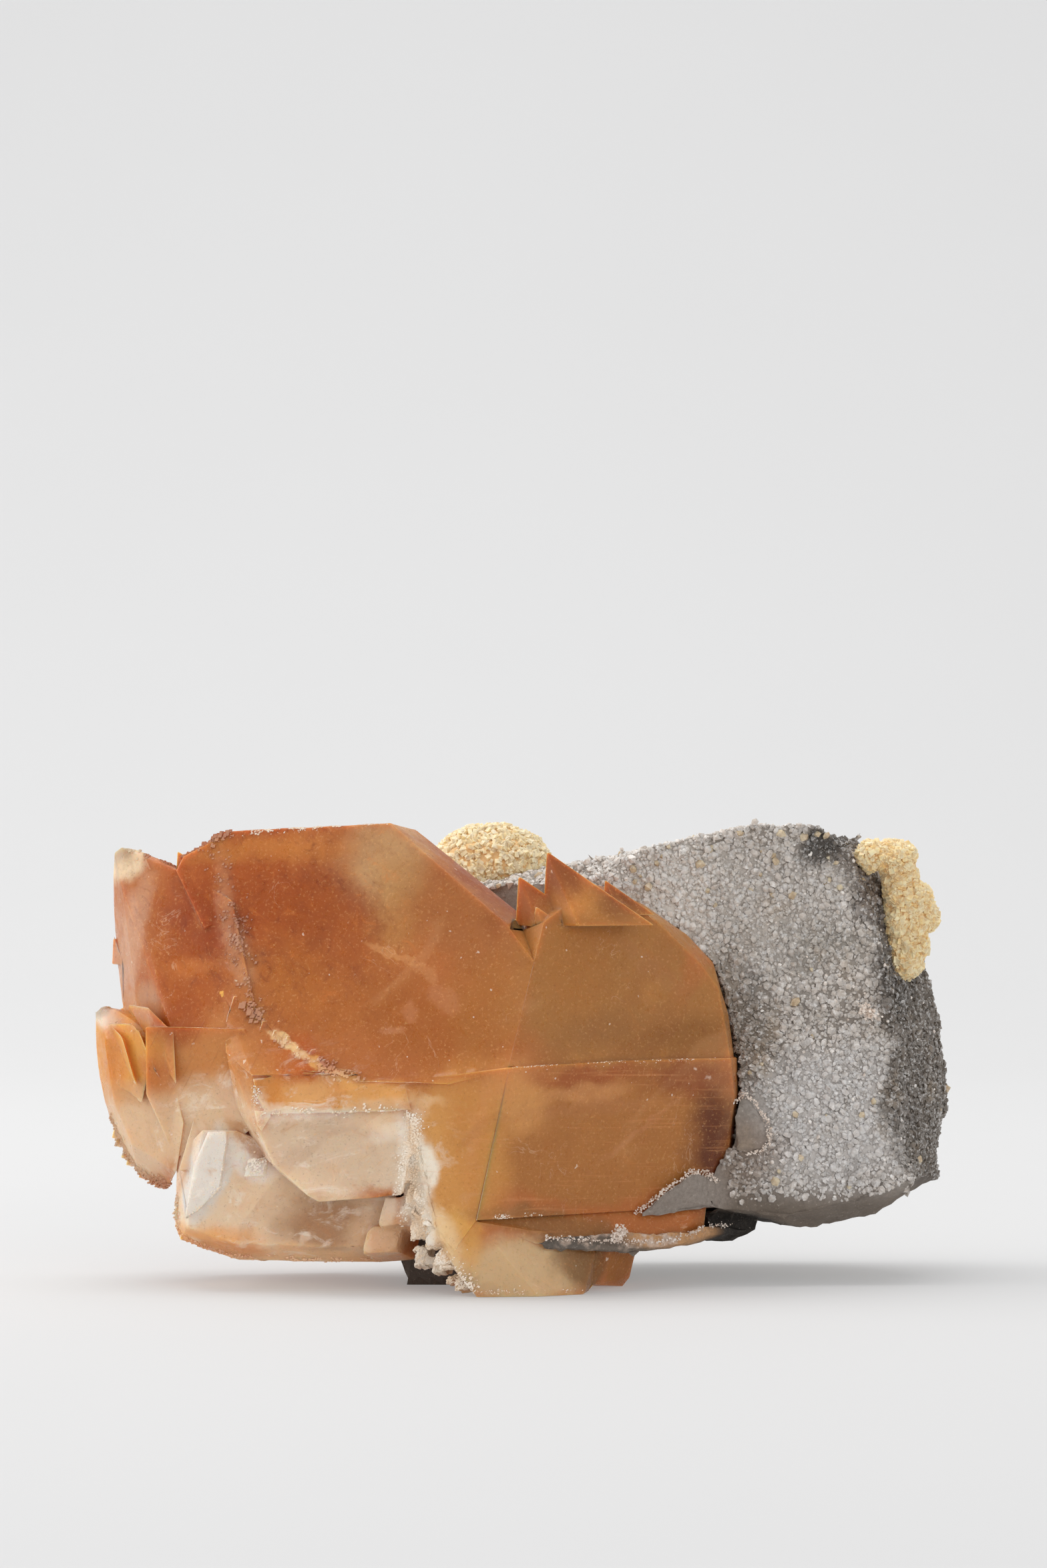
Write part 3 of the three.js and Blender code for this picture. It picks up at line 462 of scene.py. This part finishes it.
def merged_copy(node):
    """A CAD node's mesh as a bmesh with its split corners joined."""
    bm = bmesh.new()
    bm.from_mesh(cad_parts[node].data)
    bmesh.ops.remove_doubles(bm, verts=bm.verts, dist=2e-6)
    bmesh.ops.dissolve_degenerate(bm, dist=1e-7, edges=bm.edges)
    return bm


def to_mesh(bm, name):
    mesh = bpy.data.meshes.new(name)
    bm.to_mesh(mesh)
    bm.free()
    return mesh


def triangles_of(mesh):
    mesh.calc_loop_triangles()
    corners = np.zeros(len(mesh.loop_triangles) * 3, np.int32)
    mesh.loop_triangles.foreach_get("vertices", corners)
    places = np.zeros(len(mesh.vertices) * 3)
    mesh.vertices.foreach_get("co", places)
    return places.reshape(-1, 3)[corners.reshape(-1, 3)]


class Surface:
    """A mesh's triangles, from which random places are picked."""

    def __init__(self, mesh):
        self.tri = triangles_of(mesh)
        cross = np.cross(self.tri[:, 1] - self.tri[:, 0], self.tri[:, 2] - self.tri[:, 0])
        self.area = np.linalg.norm(cross, axis=1)
        self.normal = cross / np.maximum(self.area, 1e-12)[:, None]
        self.middle = self.tri.mean(1) * 1000 - np.array(SHIFT)

    def pick(self, count, weight, rng):
        """Places and normals, as many on each triangle as its area and weight give."""
        weight = self.area * weight
        picked = rng.choice(len(self.tri), count, p=weight / weight.sum())
        u, v = rng.random(count), rng.random(count)
        flip = u + v > 1
        u[flip], v[flip] = 1 - u[flip], 1 - v[flip]
        t = self.tri[picked]
        places = t[:, 0] + u[:, None] * (t[:, 1] - t[:, 0]) + v[:, None] * (t[:, 2] - t[:, 0])
        return places, self.normal[picked]

    def near(self, line, spread):
        """A weight that falls off with the distance from a line, in the part's millimetres."""
        points = np.array(line, float)
        nearest = np.full(len(self.middle), 1e9)
        for a, b in zip(points[:-1], points[1:]):
            along = np.clip(((self.middle - a) @ (b - a)) / ((b - a) @ (b - a)), 0, 1)
            nearest = np.minimum(nearest, np.linalg.norm(self.middle - a - along[:, None] * (b - a), axis=1))
        return np.exp(-((nearest / spread) ** 2)) + 1e-12


def frames_for(axis, rng):
    """Two directions across each axis, turned at random."""
    other = rng.normal(size=axis.shape)
    a = np.cross(axis, other)
    a /= np.linalg.norm(a, axis=1)[:, None]
    return a, np.cross(axis, a)


def mesh_from(name, vertices, faces):
    mesh = bpy.data.meshes.new(name)
    mesh.from_pydata(vertices.tolist(), [], faces.tolist())
    mesh.update()
    return mesh


def points_mesh(name, places, normals, sizes, rng, lean=0.6, sides=6, tip=0.8, waist=0.6, sink=0.6):
    """Short quartz points, each closed: a ring of corners with a tip above it and one below."""
    axis = normals + lean * rng.normal(size=normals.shape)
    axis /= np.linalg.norm(axis, axis=1)[:, None]
    a, b = frames_for(axis, rng)
    count = len(places)
    angles = np.arange(sides) * 2 * np.pi / sides
    ring_height = 0.15 + 0.3 * rng.random((count, sides))
    radius = waist * (0.8 + 0.4 * rng.random((count, sides)))
    around = np.cos(angles)[None, :, None] * a[:, None, :] + np.sin(angles)[None, :, None] * b[:, None, :]
    ring = (
        places[:, None, :]
        + sizes[:, None, None] * radius[..., None] * around
        + (sizes[:, None] * ring_height)[..., None] * axis[:, None, :]
    )
    top = places + axis * (sizes * tip)[:, None]
    low = places - axis * (sizes * sink)[:, None]
    vertices = np.concatenate([ring, top[:, None], low[:, None]], 1).reshape(-1, 3)
    k = np.arange(sides)
    upper = np.stack([k, (k + 1) % sides, np.full(sides, sides)], 1)
    lower = np.stack([(k + 1) % sides, k, np.full(sides, sides + 1)], 1)
    faces = (np.arange(count)[:, None, None] * (sides + 2) + np.concatenate([upper, lower])[None]).reshape(-1, 3)
    return mesh_from(name, vertices, faces)


def blocks_mesh(name, places, sizes, rng, axes=None, squash=0.45):
    """Small blocks: turned at random for barite, or all along the cleavage directions for calcite."""
    count = len(places)
    if axes is None:
        z = rng.normal(size=(count, 3))
        z /= np.linalg.norm(z, axis=1)[:, None]
        x, y = frames_for(z, rng)
    else:
        x, y, z = [np.repeat(np.array(d, float)[None], count, 0) for d in axes]
        z, x, y = [d / np.linalg.norm(d, axis=1)[:, None] for d in (z, x, y)]
    length = sizes[:, None] * (squash + (1 - squash) * rng.random((count, 3)))
    corners = []
    for i, j, k in ((0, 0, 0), (1, 0, 0), (1, 1, 0), (0, 1, 0), (0, 0, 1), (1, 0, 1), (1, 1, 1), (0, 1, 1)):
        corner = (i - 0.5) * length[:, :1] * x + (j - 0.5) * length[:, 1:2] * y + (k - 0.5) * length[:, 2:] * z
        corners.append(places + corner)
    vertices = np.stack(corners, 1).reshape(-1, 3)
    quads = np.array([(0, 3, 2, 1), (4, 5, 6, 7), (0, 1, 5, 4), (1, 2, 6, 5), (2, 3, 7, 6), (3, 0, 4, 7)])
    faces = (np.arange(count)[:, None, None] * 8 + quads[None]).reshape(-1, 4)
    return mesh_from(name, vertices, faces)


def inside(places, margin=0.0002):
    """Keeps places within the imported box, so that no grain sticks out of it."""
    low, high = np.array(packed_bounds[0]), np.array(packed_bounds[1])
    return ((places > low + margin) & (places < high - margin)).all(1)


# Broken places, where the calcite's skin is rougher: centre, radii and amount, in the part's millimetres. Above
# the amount CRUMBLY, finer noise is added.
CRUMBLY = 0.6
ROUGH_PLACES = [
    ((-22, -34, 20), (6, 12, 20), 0.9),
    ((-16, -34, 6), (7, 10, 9), 0.9),
    ((-40, -30, 47), (22, 14, 7), 0.3),
    ((-50, -26, 8), (26, 16, 5), 0.35),
    ((-38, -34, 29), (19, 12, 10), 0.14),
    ((-84, -4, 28), (9, 16, 12), 0.3),
    ((-57, -28, 27), (7, 8, 6), 0.4),
    ((-61, -14, 80), (4, 14, 14), 0.3),
    ((-46, -12, 95), (22, 14, 3), 0.3),
    ((4, -34, 8), (20, 14, 9), 0.2),
]


def roughness_at(p):
    """How deep the unevenness goes at a place, in millimetres; 0.07 on sound faces."""
    amount = 0.07
    for centre, radii, most in ROUGH_PLACES:
        away = math.sqrt(sum(((a - c) / r) ** 2 for a, c, r in zip(p, centre, radii)))
        amount = max(amount, most * min(1.0, max(0.0, 1.6 - away)))
    return amount


def split_long(bm, limit, rounds):
    """Halves long edges until all are shorter than the limit in metres, or for some rounds."""
    for _ in range(rounds):
        long_edges = [e for e in bm.edges if e.calc_length() > limit]
        if not long_edges:
            break
        bmesh.ops.subdivide_edges(bm, edges=long_edges, cuts=1)
        bmesh.ops.triangulate(bm, faces=[f for f in bm.faces if len(f.verts) > 3])
    bm.normal_update()


# Places where the steps melt into one crumbly mass: centre, radii, how often smoothed, edges split below (mm).
SOFT_PLACES = [
    ((-22, -34, 22), (5.4, 10, 17), 7, 1.05),
    ((-17, -34, 6.4), (6.4, 10, 9), 2, 1.05),
    ((-85, -6, 46), (8, 16, 14), 3, 1.6),
    ((-28.6, -28, 11), (7, 10, 6), 9, 1.05),
]


def near_place(co, centre, radii):
    """Whether a vertex lies in an ellipsoid given in the part's millimetres."""
    return sum(((a * 1000 - s - c) / r) ** 2 for a, s, c, r in zip(co, SHIFT, centre, radii)) < 1.0


def soften(bm, centre, radii, rounds, limit):
    """Splits and smooths the skin near a place, so that its blocks become a lumpy broken surface."""
    for _ in range(2):
        long_edges = [
            e for e in bm.edges
            if e.calc_length() > limit / 1000 and near_place(e.verts[0].co, centre, radii)
        ]
        bmesh.ops.subdivide_edges(bm, edges=long_edges, cuts=1)
        bmesh.ops.triangulate(bm, faces=[f for f in bm.faces if len(f.verts) > 3])
    picked = [v for v in bm.verts if near_place(v.co, centre, radii) and v.co.z > 0.0004]
    for _ in range(rounds):
        bmesh.ops.smooth_vert(bm, verts=picked, factor=0.5, use_axis_x=True, use_axis_y=True, use_axis_z=True)


def build_calcite(material, edge_material):
    """The crystals' skin: long sharp edges are bevelled, and the faces are a little uneven."""
    bm = merged_copy("calcite_crystals")
    bmesh.ops.dissolve_limit(bm, angle_limit=math.radians(1.0), verts=bm.verts, edges=bm.edges)
    width = 0.0003
    roomy = {v for v in bm.verts if all(e.calc_length() > 2 * width for e in v.link_edges)}
    sharp = [
        e for e in bm.edges
        if e.is_manifold and e.calc_face_angle(0.0) > math.radians(12) and all(v in roomy for v in e.verts)
    ]
    bmesh.ops.bevel(
        bm, geom=sharp, offset=width, offset_type="OFFSET", segments=2, profile=0.5, affect="EDGES",
        clamp_overlap=False, material=1,
    )
    bmesh.ops.triangulate(bm, faces=bm.faces)
    split_long(bm, 0.0017, 8)
    for place in SOFT_PLACES:
        soften(bm, *place)
    bm.normal_update()
    for v in bm.verts:
        p = v.co * 1000
        amount = roughness_at(p - SHIFT)
        wave = noise.noise(p * 0.09) + 0.5 * noise.noise(p * 0.31) + 0.4 * noise.noise(p * 0.9)
        if amount > CRUMBLY:
            wave += 0.9 * abs(noise.noise(p * 1.7)) + 0.3 * noise.noise(p * 3.1)
        if p.z > 0.2:
            v.co -= v.normal * amount * max(0.0, 0.5 + 0.6 * wave) / 1000
    mesh = to_mesh(bm, "calcite_skin")
    # drops the doubled faces that the bevel leaves
    mesh.validate()
    for polygon in mesh.polygons:
        polygon.use_smooth = True
    mesh.set_sharp_from_angle(angle=math.radians(14))
    obj = piece("calcite_skin", mesh, material, "calcite_crystals")
    # the bevels take the paler edge copy: worn white edges with a painted highlight line along each
    mesh.materials.append(edge_material)
    return obj


# The three directions along which calcite cleaves.
CLEAVAGE = ((0.99, 0.1, 0.07), (0.3, 0.92, -0.22), (0.27, 0.12, 0.95))

# Broken edges where little cleaved chips stand, in the part's millimetres: places, how many, spread, size, and
# whether they come in patches.
PALE_CHIPS = [
    ([(-21.6, -37, 36), (-22.6, -36, 29), (-24, -34.6, 23), (-23.4, -34.6, 18)], 2500, 1.3, 0.45, 0),
    ([(-22.4, -34.4, 20), (-22.4, -33.8, 13), (-20.4, -34.4, 9), (-16, -35.6, 5.4), (-12.4, -36.4, 2)],
     4600, 2.0, 0.45, 0),
    ([(-52, -33.4, 36.8), (-36, -35.4, 37.4), (-24, -37.6, 37.6)], 260, 0.8, 0.55, 1),
    ([(-58.4, -28, 29), (-55.6, -28.4, 27.4), (-53.6, -29.2, 25.4)], 260, 1.2, 0.4, 0),
    ([(-62, -12, 93.6), (-50, -13.6, 94.9), (-36, -16, 95.7), (-29, -17.6, 96)], 420, 0.5, 0.3, 1),
    ([(-2, -42.6, 47.1), (20, -30, 47.6), (42, -17.6, 47.4)], 200, 0.35, 0.2, 1),
    ([(-6, -38.8, 16), (16, -27.4, 16.2), (36, -15.6, 16.6)], 160, 0.4, 0.22, 1),
    ([(-8, -36.8, 1), (4, -36, 0.9), (12, -31.6, 0.9)], 90, 0.5, 0.28, 1),
    ([(-55, -32.4, 44), (-54.4, -32, 38), (-53.4, -31.6, 33.6)], 150, 0.8, 0.3, 1),
    ([(-67, -26, 16), (-61.4, -27.6, 22), (-60.4, -27.6, 31)], 90, 0.7, 0.35, 1),
]
HONEY_CHIPS = [
    ([(-56, -29, 55.4), (-47, -31.6, 50.4), (-41, -34, 47.2), (-34, -36.4, 44.4)], 240, 0.8, 0.7, 1),
    ([(-64, -14, 90), (-61, -17.4, 82), (-60, -19.6, 76), (-58.6, -22, 69), (-55.6, -25.4, 61)],
     420, 2.0, 0.55, 1),
    ([(-70.6, -8, 89), (-66, -9.4, 91.4), (-62, -11, 93.4)], 170, 1.0, 0.9, 0),
    ([(-84, -5, 90.6), (-78, -6, 88.9), (-72.6, -7.4, 86.8)], 120, 0.8, 0.6, 1),
    ([(-86, -2, 33), (-83, -3, 26.4), (-79.6, -5, 22.8), (-75, -10, 20.6)], 420, 1.3, 0.7, 0),
    ([(-71.6, -19, 18), (-71, -19, 12), (-68, -20, 9.4), (-60, -21, 7)], 260, 0.9, 0.5, 0),
    ([(-60, -21, 6.8), (-46, -21, 6.0), (-30, -20.6, 6.0)], 300, 0.8, 0.5, 1),
    ([(-56.4, -25, 58.8), (-55.2, -26, 57.6), (-54.4, -27, 56.6)], 90, 0.8, 1.2, 0),
]


def build_chips(name, lines, surface, material, rng):
    """Little cleaved blocks on the skin along lines, mostly on faces that don't look back."""
    patchy = np.array([noise.noise(Vector(m) * 0.45) for m in surface.middle])
    patchy = np.clip(patchy * 6, 0.02, 1)
    faces_front = np.where(surface.normal[:, 1] < 0.6, 1.0, 0.05)
    places, sizes = [], []
    for line, count, spread, size, patches in lines:
        weight = surface.near(line, spread) * faces_front * (patchy if patches else 1.0)
        places.append(surface.pick(count, weight, rng)[0])
        sizes.append(size * (0.35 + 0.85 * rng.random(count) ** 2) / 1000)
    places, sizes = np.concatenate(places), np.concatenate(sizes)
    keep = inside(places, 0.0005)
    return piece(name, blocks_mesh(name, places[keep], sizes[keep], rng, CLEAVAGE), material)


def build_rock(material):
    """The rock's rough skin: fine triangles sunk by noise, none of them by more than 1.4 mm."""
    bm = merged_copy("matrix_rock")
    split_long(bm, 0.0019, 7)
    for v in bm.verts:
        p = v.co * 1000
        depth = 0.5 + 0.5 * noise.noise(p * 0.22) + 0.3 * noise.noise(p * 0.6) + 0.1 * noise.noise(p * 1.3)
        if p.z > 0.5:
            v.co -= v.normal * max(0.05, min(depth, 1.4)) / 1000
    return piece("rock_skin", to_mesh(bm, "rock_skin"), material, "matrix_rock")


def druse_wanted(middle, normal):
    """How thickly the druse grows: on the front, the top and the right, and less on the back and underneath."""
    x, z = middle[:, 0], middle[:, 2]
    patchy = np.array([noise.noise(Vector(m) * 0.07) + 0.5 * noise.noise(Vector(m) * 0.23) for m in middle])
    open_side = np.clip((x - 8) / 6, 0, 1)
    upper = np.clip((z - 17.5) / 2.0, 0, 1)
    # on the back only a thin, patchy growth that fades to the left
    thin = np.clip((x - 2 + 30 * patchy) / 60, 0, 1) * np.clip(0.25 + 1.6 * patchy, 0, 0.8)
    back = np.where(normal[:, 1] > 0.5, thin, 1.0)
    under = np.where(normal[:, 2] < -0.6, 0.0, 1.0)
    chip = ((x - 47) / 4.4) ** 2 + ((z - 33) / 6.4) ** 2 < 1
    plate = (chip & (middle[:, 1] < -10.5)) | ((x < 43) & (z < 25) & (middle[:, 1] < -9))
    under = np.where(plate, 0.0, under)
    open_side = np.where(normal[:, 1] > 0.5, 1.0, open_side)
    top = np.where((z > 76) & (normal[:, 2] > 0.4), 0.7, 0.0)
    return np.maximum(open_side * upper * back * under, top) + 1e-6


def build_druse(rock, material, bright, honey, rng):
    """Quartz points on the rock: three sizes of grey ones, a few bright ones and some yellowish ones."""
    surface = Surface(rock.data)
    weight = druse_wanted(surface.middle, surface.normal)
    full = 16000
    kinds = (
        ("druse_fine", (0.5, 0.45), full),
        ("druse_more", (0.5, 0.6), full),
        ("druse_coarse", (0.9, 0.9), full * 15 // 32),
    )
    for name, sizes, count in kinds:
        places, normals = surface.pick(count, weight, rng)
        size = (sizes[0] + sizes[1] * rng.random(count) ** 2) / 1000
        places = places - normals * 0.00005
        keep = inside(places, 0.0003)
        mesh = points_mesh(name, places[keep], normals[keep], size[keep], rng, lean=0.5, tip=0.62)
        piece(name, mesh, material)

    # a few bright white points: white quartz grains, and painted glints of the druse
    sparkles = 500
    places, normals = surface.pick(sparkles, weight, rng)
    size = (0.4 + 0.5 * rng.random(sparkles)) / 1000
    keep = inside(places, 0.0004)
    mesh = points_mesh("druse_sparkles", places[keep], normals[keep], size[keep], rng, lean=0.4)
    piece("druse_sparkles", mesh, bright)

    # the yellowish points stand mostly along the top
    weight = weight * (surface.normal[:, 1] < 0.5)
    weight = weight * (0.12 + np.clip((surface.middle[:, 2] - 78) / 10, 0, 1))
    yellowish = 170
    places, normals = surface.pick(yellowish, weight, rng)
    size = (0.9 + 1.1 * rng.random(yellowish) ** 2) / 1000
    keep = inside(places, 0.0008)
    mesh = points_mesh("honey_points", places[keep], normals[keep], size[keep], rng)
    piece("honey_points", mesh, honey)


# Pale quartz along the rims of the bare plates, and two white tufts: places, how many, spread and size.
RIMS = [
    ([(43.8, -14, 38), (46, -13.8, 39.8), (48, -13.6, 38), (50.8, -13.6, 33.6), (51, -13.4, 29.6),
      (49.6, -13.8, 28), (46.4, -14.6, 27.2)], 260, 0.3, 0.4),
    ([(22.8, -22, 15.4), (28, -22, 19.6), (34.4, -19.8, 24), (37.8, -17.2, 23.6), (40.6, -13.6, 21.4)],
     300, 0.35, 0.42),
    ([(4.4, -36.4, 12.1), (16, -30.8, 10.9), (30, -22.4, 9.8), (38, -15.4, 12.6), (43, -9.8, 12.4)],
     300, 0.4, 0.4),
    ([(18.6, -31.4, 11.6), (20, -30.8, 13)], 150, 0.8, 0.6),
    ([(70.4, -9.6, 57.4), (72.6, -9.2, 55.4)], 120, 0.8, 0.6),
]


def along_lines(lines, rng, flat):
    """Random places around lines, in the row's metres, with sizes."""
    places, sizes = [], []
    for line, count, spread, size in lines:
        points = np.array(line, float)
        steps = np.linalg.norm(np.diff(points, axis=0), axis=1)
        along = np.concatenate([[0], np.cumsum(steps)])
        t = rng.random(count) * along[-1]
        on_line = np.stack([np.interp(t, along, points[:, i]) for i in range(3)], 1)
        places.append(on_line + rng.normal(size=(count, 3)) * spread * np.array(flat))
        sizes.append(size * (0.4 + 0.8 * rng.random(count) ** 2))
    places = (np.concatenate(places) + np.array(SHIFT)) / 1000
    sizes = np.concatenate(sizes) / 1000
    keep = inside(places, 0.0008)
    return places[keep], sizes[keep]


def build_rims(material, rng):
    """Small quartz points along the rims, leaning forwards and up."""
    places, sizes = along_lines(RIMS, rng, (0.8, 0.3, 0.8))
    normals = np.repeat(np.array([[0.0, -0.9, 0.4]]), len(places), 0)
    mesh = points_mesh("rim_quartz", places, normals, sizes, rng, lean=0.6, tip=0.6)
    piece("rim_quartz", mesh, material)


def build_barite(node, name, base, grain, count, rng):
    """A growth's sunk skin and the small blocks all over it."""
    bm = merged_copy(node)
    bmesh.ops.subdivide_edges(bm, edges=bm.edges, cuts=1)
    bmesh.ops.triangulate(bm, faces=bm.faces)
    bm.normal_update()
    for v in bm.verts:
        v.co -= v.normal * 0.0007 * (0.7 + noise.noise(v.co * 400))
    skin = piece(name + "_skin", to_mesh(bm, name + "_skin"), base, node)
    surface = Surface(skin.data)
    places, normals = surface.pick(count, 1.0, rng)
    places = places + normals * 0.0001
    sizes = (0.8 + 0.9 * rng.random(count)) / 1000
    keep = inside(places, 0.0007)
    mesh = blocks_mesh(name + "_grains", places[keep], sizes[keep], rng)
    piece(name + "_grains", mesh, grain)


def build_stage():
    """A sheet of pale paper that runs back over the floor and sweeps up behind, and glows a little as painted
    light.
    """
    profile = [(-3.0, 0.0), (0.7, 0.0)]
    for step in range(1, 25):
        angle = math.radians(90 * step / 24)
        profile.append((0.7 + 1.2 * math.sin(angle), 1.2 - 1.2 * math.cos(angle)))
    profile.append((1.9, 4.0))
    vertices = [(x, y, z - 0.00005) for y, z in profile for x in (-4.0, 4.0)]
    faces = [(2 * i, 2 * i + 1, 2 * i + 3, 2 * i + 2) for i in range(len(profile) - 1)]
    mesh = bpy.data.meshes.new("paper")
    mesh.from_pydata(vertices, [], faces)
    for polygon in mesh.polygons:
        polygon.use_smooth = True
    paper = bpy.data.objects.new("paper", mesh)
    bpy.context.scene.collection.objects.link(paper)
    material = plain_material("pale_paper_glowing", (178, 178, 178), (177, 177, 177), 3.0, 0.9)
    bsdf = material.node_tree.nodes["Principled BSDF"]
    # the paper glows a little: painted light that lifts the shadows on it and lights the specimen from below
    bsdf.inputs["Emission Color"].default_value = (1.0, 0.985, 0.97, 1.0)
    bsdf.inputs["Emission Strength"].default_value = 0.25
    mesh.materials.append(material)


def light(name, place, target, size, watts, tone):
    """A rectangular lamp at a place in metres that looks at a target."""
    data = bpy.data.lights.new(name, "AREA")
    data.shape = "RECTANGLE"
    data.size, data.size_y = size
    data.energy = watts
    data.color = tone
    obj = bpy.data.objects.new(name, data)
    obj.location = place
    obj.rotation_euler = (Vector(target) - Vector(place)).to_track_quat("-Z", "Y").to_euler()
    bpy.context.scene.collection.objects.link(obj)


def build_lights():
    world = bpy.data.worlds.new("studio")
    bpy.context.scene.world = world
    world.use_nodes = True
    background = world.node_tree.nodes["Background"]
    background.inputs["Color"].default_value = (0.95, 0.97, 1.0, 1)
    background.inputs["Strength"].default_value = 0.6
    light("left", (-1.3, 0.1, 0.62), (0, 0, 0.05), (1.0, 0.9), 10.0, (1.0, 0.99, 0.975))
    light("top", (-0.15, 0.25, 1.4), (0, 0, 0.04), (1.3, 0.9), 8.0, (1.0, 1.0, 1.0))
    light("front", (0.7, -1.6, 0.5), (0, 0, 0.05), (1.4, 0.9), 7.0, (1.0, 0.99, 0.98))
    light("wall", (-0.3, 0.1, 1.9), (-0.3, 1.9, 0.9), (2.4, 0.6), 15.0, (1.0, 1.0, 1.0))
    bpy.context.scene.view_settings.view_transform = "Standard"


def build_camera():
    data = bpy.data.cameras.new("camera")
    # 36 mm sensor across the frame's longer side: the photo's 7117 px focal length over its 2349 px height
    data.lens = 109.07
    data.sensor_width = 36
    data.clip_start = 0.05
    data.clip_end = 20
    camera = bpy.data.objects.new("camera", data)
    camera.location = metres((0, -1000, 104.06))
    camera.rotation_euler = (math.radians(90), 0, 0)
    bpy.context.scene.collection.objects.link(camera)
    bpy.context.scene.camera = camera


rng = np.random.default_rng(20)
calcite = calcite_material()
pale = plain_material("pale_calcite", (250, 239, 224), (244, 220, 190), 300.0, 0.45)
# a paler copy for the bevels: the white of worn edges, and painted highlight lines along the sharp edges
edge_highlight_calcite = calcite_material("calcite_edges_highlight", 0.3)
skin = Surface(build_calcite(calcite, edge_highlight_calcite).data)
build_chips("calcite_chips", HONEY_CHIPS, skin, calcite_material("calcite_crumbs", 0.12, True), rng)
build_chips("pale_chips", PALE_CHIPS, skin, pale, rng)
rock = build_rock(rock_material())
honey = plain_material("honey_quartz", (214, 198, 170), (178, 154, 124), 600.0, 0.18, 0.3)
# white quartz for the druse's sparkle points, which also serve as painted glints
white = plain_material("white_quartz_glints", (248, 244, 238), (214, 198, 184), 900.0, 0.12)
build_druse(rock, druse_material(), white, honey, rng)
build_rims(plain_material("rim_quartz", (238, 226, 214), (206, 184, 166), 900.0, 0.2), rng)
base = plain_material("barite_base", (232, 196, 142), (212, 170, 114), 300.0, 0.8)
grain = plain_material("barite_grains", (250, 230, 188), (238, 208, 158), 700.0, 0.42, 0.35)
build_barite("barite_ball", "ball", base, grain, 3000, rng)
# the cluster's grains: a warmer, lighter copy of the ball's, partly warmer barite and partly painted light where
# little lamp light reaches
lit_warm_grains = plain_material("barite_warm_and_lit", (254, 232, 184), (244, 202, 140), 700.0, 0.4, 0.35)
build_barite("barite_cluster", "cluster", base, lit_warm_grains, 3600, rng)
build_stage()
build_lights()
build_camera()
